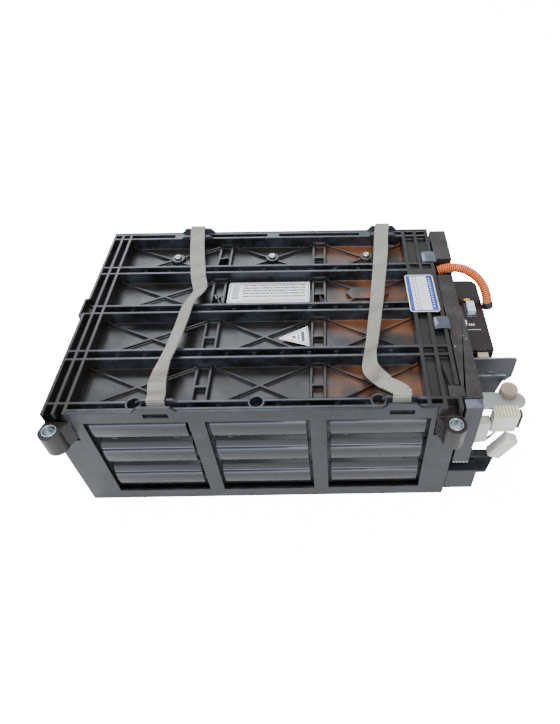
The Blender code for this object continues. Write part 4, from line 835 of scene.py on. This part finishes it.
CONDUIT_ROUTE = [(0.2160, 0.0745, 0.1590), (0.2215, 0.0750, 0.1612), (0.2326, 0.0722, 0.1655),
                 (0.2457, 0.0655, 0.1680), (0.2586, 0.0555, 0.1655), (0.2675, 0.0465, 0.1585),
                 (0.2728, 0.0405, 0.1480), (0.2751, 0.0370, 0.1385)]
RIDGE_PITCH, SLEEVE_SIDES = 0.0025, 28
path, at = smooth_path(CONDUIT_ROUTE, 0.0003)
wave = 0.5 + 0.5 * np.cos(2 * np.pi * at / RIDGE_PITCH)
ridge = 0.0047 + 0.0012 * wave ** 0.6
rings = carried(path, (0, 0, 1), circle(1.0, SLEEVE_SIDES)[None] * ridge[:, None, None])
sleeve = piece("corrugated_sleeve", shell(rings), conduit_orange,
               stands_for=["power_conduit"], smooth=80)
mark(sleeve, "valley_shade", np.repeat(1 - wave, SLEEVE_SIDES))
end, way = path[-1], path[-1] - path[-3]
way /= np.linalg.norm(way)
cuff_line = [end + way * 0.0003, end + way * 0.004, end + way * 0.0082]
cuff_path, cuff_at = smooth_path(cuff_line, 0.0004)
cuff_radius = 0.0068 - 0.0007 * np.abs(cuff_at / cuff_at[-1] * 2 - 1) ** 6
cuff_rings = carried(cuff_path, (1, 0, 0), circle(1.0, SLEEVE_SIDES)[None] * cuff_radius[:, None, None])
piece("rubber_cuff", shell(cuff_rings), rubber_black,
      stands_for=["conduit_cuff"])

# %% [markdown]
# ## Stickers
# Three printed stickers lie on the cover. Each is a plain white film with rules, blocks and
# bands of colour, and no words. A sticker is a fine grid of points, and its print is worked out
# from each point's own distance along and across it.

# %% Sticker finish and surface
sticker_film, tree, shader, coords = plain_shader("sticker_film", (0.8, 0.8, 0.8), 0.38)
ink = node(tree, "ShaderNodeAttribute", attribute_name="ink").outputs["Color"]
age = noise(tree, coords, 60.0, 4.0)
colour = mixed(tree, ramp(tree, age, 0.5, 0.8, 0.0, 0.25), ink, (0.62, 0.60, 0.54))
tree.links.new(colour, shader.inputs["Base Color"])
tree.links.new(ramp(tree, age, 0.3, 0.7, 0.3, 0.48), shader.inputs["Roughness"])
bump(tree, shader, age, 0.00005)


def sticker(name, corner, along, across, length, width, edges, printed, z):
    """A grid over length by width: each row runs between the two limits that edges(b) gives for it."""
    along = np.asarray(along, float) / np.linalg.norm(along)
    across = np.asarray(across, float) / np.linalg.norm(across)
    b = np.linspace(0, width, max(20, round(width / 0.00045)))[:, None]
    first, last = edges(b)
    a = first + (last - first) * np.linspace(0, 1, max(20, round(length / 0.00045)))[None]
    flat = np.asarray(corner, float) + a[..., None] * along + b[..., None] * across
    points = np.concatenate([flat, np.full(a.shape + (1,), z)], -1)
    made = piece(name, (points.reshape(-1, 3), grid_quads(*a.shape, wrap=False), []), sticker_film)
    wall = made.modifiers.new("film", "SOLIDIFY")
    wall.thickness = 0.00022
    wall.offset = -1.0
    colours = np.ones(a.shape + (4,), np.float32)
    colours[..., :3] = printed(a, np.broadcast_to(b, a.shape))
    made.data.attributes.new("ink", "FLOAT_COLOR", "POINT").data.foreach_set("color", colours.ravel())
    if made.data.polygons[0].normal.z < 0:
        made.data.flip_normals()
    return made


def round_corners(length, width, radius):
    """A rectangle whose rows draw in near both ends, by what a circle of that radius leaves."""
    def edges(b):
        near = np.clip(radius - np.minimum(b, width - b), 0, radius)
        pull = radius - np.sqrt(radius ** 2 - near ** 2)
        return pull, length - pull
    return edges


def inside(a, low, high):
    return (a >= low) & (a <= high)


def word_rules(a, b, pitch, thickness, seed):
    """Rules of a set pitch, broken into uneven dashes by two sines that differ from row to row."""
    row = np.floor(b / pitch)
    dash = np.sin(a * 2300 + row * (5.1 + seed)) + np.sin(a * 3700 + row * 2.3)
    return ((b / pitch - row) < thickness) & (dash > -0.75)


def border_reach(a, b, length, width):
    """How far each point lies inside a rectangle's nearest side."""
    return np.minimum(np.minimum(a, length - a), np.minimum(b, width - b))


def film_with(a, areas):
    """White film, and over it each area's colour where its mask holds."""
    picture = np.empty(a.shape + (3,))
    picture[:] = (0.86, 0.87, 0.88)
    for mask, colour in areas:
        picture[mask] = colour
    return picture


INK = (0.045, 0.045, 0.05)
NOTICE_L, NOTICE_W = 0.1003, 0.0375


def notice_print(a, b):
    """A dark frame inside a margin, a block of bars, dashed rules and a red foot line."""
    text = inside(a, 0.0180, 0.0950)
    return film_with(a, [
        (text & inside(b, 0.0075, 0.0335) & word_rules(a, b, 0.0052, 0.52, 0.0), (0.012, 0.012, 0.015)),
        (inside(a, 0.0050, 0.0135) & inside(b, 0.0070, 0.0320) & (np.sin(b * 4200) > -0.25), INK),
        (text & inside(b, 0.0038, 0.0052), (0.50, 0.05, 0.04)),
        (inside(border_reach(a, b, NOTICE_L, NOTICE_W), 0.0014, 0.0024), INK)])


sticker("notice_sticker", (-0.0472, 0.0212), (1, 0), (0, 1), NOTICE_L, NOTICE_W,
        round_corners(NOTICE_L, NOTICE_W, 0.002), notice_print, BAY_LEVEL)

RATING_L, RATING_W = 0.0345, 0.0665


def rating_print(a, b):
    """A blue frame, a wide blue band at one end, a narrower one at the other, rules and bars."""
    run = inside(b, 0.003, 0.0635)
    table = inside(a, 0.015, 0.025) & inside(b, 0.010, 0.058)
    foot = inside(a, 0.0063, 0.0086) & inside(b, 0.010, 0.056)
    heading = inside(a, 0.0278, 0.0300) & inside(b, 0.006, 0.060)
    return film_with(a, [
        (inside(border_reach(a, b, RATING_L, RATING_W), 0.0012, 0.0028), (0.012, 0.055, 0.30)),
        (inside(a, 0.0262, 0.0325) & run, (0.012, 0.055, 0.30)),
        (inside(a, 0.0025, 0.0058) & run, (0.015, 0.065, 0.32)),
        (inside(a, 0.0124, 0.0135) & run, (0.03, 0.08, 0.34)),
        (inside(a, 0.0089, 0.0101) & run & (np.sin(b * 900) > -0.7), (0.36, 0.07, 0.28)),
        (table & word_rules(b, a, 0.0026, 0.34, 1.0), (0.38, 0.44, 0.56)),
        (foot & word_rules(b, a, 0.0021, 0.4, 2.0), (0.5, 0.5, 0.58)),
        (heading & (np.sin(b * 1500) > 0.2), (0.60, 0.66, 0.80))])


sticker("rating_sticker", (0.1713, -0.0125), (1, 0), (-0.02, 1), RATING_L, RATING_W,
        round_corners(RATING_L, RATING_W, 0.0035), rating_print, FLANGE_LEVEL)

SIDE, DEPTH = 0.0312, 0.0337


def triangle_edges(b):
    """Rows of a triangle, from its base to its point."""
    half = SIDE / 2 * (1 - np.clip(b / DEPTH, 0, 1)) + 0.0006
    return SIDE / 2 - half, SIDE / 2 + half


def triangle_print(a, b):
    """A dark border, and plain bars by the base."""
    off_middle = np.abs(a - SIDE / 2)
    reach = SIDE / 2 * (1 - b / DEPTH) - off_middle
    border = inside(reach, 0.0011, 0.0023) & (b > 0.0012) | inside(b, 0.0012, 0.0022) & (reach > 0.0011)
    return film_with(a, [(border, (0.16, 0.16, 0.17)),
                         (inside(b, 0.0050, 0.0085) & (off_middle < 0.0080), INK),
                         (inside(b, 0.0110, 0.0125) & (off_middle < 0.0052), INK),
                         (inside(b, 0.0150, 0.0190) & (off_middle < 0.0020), INK)])


sticker("triangle_sticker", (0.0546, -0.0523), (-0.087, 0.996), (-0.996, -0.100), SIDE, DEPTH,
        triangle_edges, triangle_print, BAY_LEVEL)

# %% [markdown]
# ## Connectors and their wires
# Three ivory connectors hang in front of the terminal plate. Their shells are rounded boxes, the
# upper one with a row of finger ribs, and short wires run from it into the housing.

# %% Connector shells
RIBS = 7
low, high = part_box("upper_connector")
pitch = (high[0] - low[0] - 0.003) / RIBS
grips = [block(x - 0.0014, high[2] - 0.0060, x + 0.0014, high[2], 0.0011, low[1] - 0.0006,
               high[1] - 0.0012, 0.0006, "Y") for x in low[0] + 0.0015 + (np.arange(RIBS) + 0.5) * pitch]
shells = [block(low[0], low[1], high[0], high[1] - 0.0003, 0.0014, low[2], high[2] - 0.0022, 0.0008),
          block(low[0] + 0.002, low[2] + 0.003, high[0] - 0.002, low[2] + 0.0055, 0.0008, low[1] - 0.0010,
                low[1] + 0.001, 0.0005, "Y")]
piece("ribbed_connector", gather(shells), ivory_plastic, stands_for=["upper_connector"])
piece("finger_ribs", gather(grips), rib_ivory)
latch = block(high[0] + 0.0003, low[1] + 0.002, high[0] + 0.0042, high[1] - 0.002, 0.001, low[2] + 0.004,
              high[2] - 0.006, 0.0008)
piece("connector_latch", latch, rubber_black)

low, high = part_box("lower_connector")
centre = np.array([(low[k] + high[k]) / 2 for k in range(3)])
TILT = math.radians(26.0)
turned = np.array([[math.cos(TILT), 0, math.sin(TILT)], [0, 1, 0], [-math.sin(TILT), 0, math.cos(TILT)]])
points, quads, caps = gather([block(-0.0085, -0.0065, 0.0085, 0.0065, 0.0028, -0.018, 0.018, 0.0016),
                              block(-0.0050, -0.0074, 0.0050, -0.0060, 0.0005, -0.012, 0.010, 0.0005)])
piece("tilted_connector", (points @ turned.T + centre, quads, caps), ivory_plastic,
      stands_for=["lower_connector"])

# %% [markdown]
# A wire is a round tube along a short curve. The light ones are told apart by a coloured one
# among them, and the sleeve over the lower lead is black.

# %% Wires
wire_white = moulded("wire_white", (0.62, 0.62, 0.64), 0.4, chip_amount=0.1)
wire_blue = moulded("wire_blue", (0.06, 0.20, 0.55), 0.4, chip_amount=0.1)
low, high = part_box("signal_lead")
start_x, start_y = high[0] - 0.0019, (low[1] + high[1]) / 2
for name, shift, paint, stands in (("signal_wire_white", -0.0011, wire_white, ["signal_lead"]),
                                   ("signal_wire_blue", 0.0011, wire_blue, [])):
    line = [(start_x + shift, start_y + shift, high[2]), (start_x + shift, start_y + shift, high[2] - 0.007),
            (low[0] + 0.0160, start_y + shift, low[2] + 0.0062),
            (low[0] + 0.006, start_y + shift, low[2] + 0.0021),
            (low[0], start_y + shift, low[2] + 0.0021)]
    piece(name, tube(line, 0.0009, 0.0008, (0, 1, 0), 14), paint, stands_for=stands)
low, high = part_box("sleeved_lead")
lead_y = (low[1] + high[1]) / 2
line = [(high[0] - 0.0022, lead_y, high[2] - 0.0012), (high[0] - 0.0042, lead_y, high[2] - 0.0036),
        (low[0] + 0.0090, lead_y, low[2] + 0.0017), (low[0], lead_y, low[2] + 0.0019)]
piece("lead_sleeve", tube(line, 0.0019, 0.0008, (0, 1, 0), 18), rubber_black,
      stands_for=["sleeved_lead"])

# %% [markdown]
# ## Small parts of the electrical end
# Two springy tongues hold the end covers. Each is a thin arch, drawn as a bent section and
# stacked along its width. The junction box carries a painted oval, a small white plug with its
# marks, and a tan block on its front. A wire arch spans the two upright plates.

# %% Snap tongues
clip_top = TOP - 0.001
for number, (first, last) in enumerate(((0.0797, 0.1003), (-0.0405, -0.0215)), 1):
    arch = np.linspace(0, np.pi, 13)
    upper = np.stack([0.2046 - 0.0090 * np.cos(arch), clip_top + 0.0004 + 0.0020 * np.sin(arch)], 1)
    lower = np.stack([0.2046 + 0.0082 * np.cos(arch), clip_top + 0.0002 + 0.0010 * np.sin(arch)], 1)
    piece(f"snap_tongue_{number}", slab(np.vstack([upper, lower]), first, last, 0.0003, "Y", 2),
          tongue_plastic)

# %% Details of the junction box and the plates
LID = 0.1400
PRINT = (LID + 0.0001, LID + 0.0004, 0.0001, "Z", 1)
oval_angle = np.linspace(0, 2 * np.pi, 32, endpoint=False)
oval = np.stack([0.2498 + 0.0042 * np.cos(oval_angle), 0.0396 + 0.0022 * np.sin(oval_angle)], 1)
piece("painted_oval", slab(oval, *PRINT), yellow_paint)
piece("small_white_plug", block(0.2366, -0.0100, 0.2412, -0.0035, 0.0008, LID + 0.0001, LID + 0.0068, 0.0005),
      white_mark)
marks = [block(x, -0.0070, x + 0.0016, -0.0035, 0, *PRINT) for x in (0.2445, 0.2471, 0.2497)]
marks.append(block(0.2421, -0.0142, 0.2576, -0.0135, 0, *PRINT))
piece("white_marks", gather(marks), white_mark)
front_of_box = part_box("junction_box")[0][1]
piece("tan_block", block(0.2475, front_of_box - 0.0085, 0.2600, front_of_box - 0.0003, 0.0010, 0.1250, 0.1370,
                         0.0008), tan_plastic)
arch_line = [(x, -0.0770, z) for x, z in ((0.2515, 0.1230), (0.2525, 0.1310), (0.2585, 0.1352),
                                          (0.2645, 0.1310), (0.2655, 0.1230))]
piece("wire_arch", tube(arch_line, 0.0014, 0.0008, (0, 1, 0), 12), bracket_plastic)
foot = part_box("end_bracket")[0]
dashes = [block(x, foot[1] - 0.0004, x + 0.0024, foot[1] - 0.0001, 0, foot[2] + 0.0015, foot[2] + 0.0026,
                0.0001, "Z", 1) for x in foot[0] + 0.0010 + 0.0036 * np.arange(5)]
piece("bracket_foot_marks", gather(dashes), white_mark)
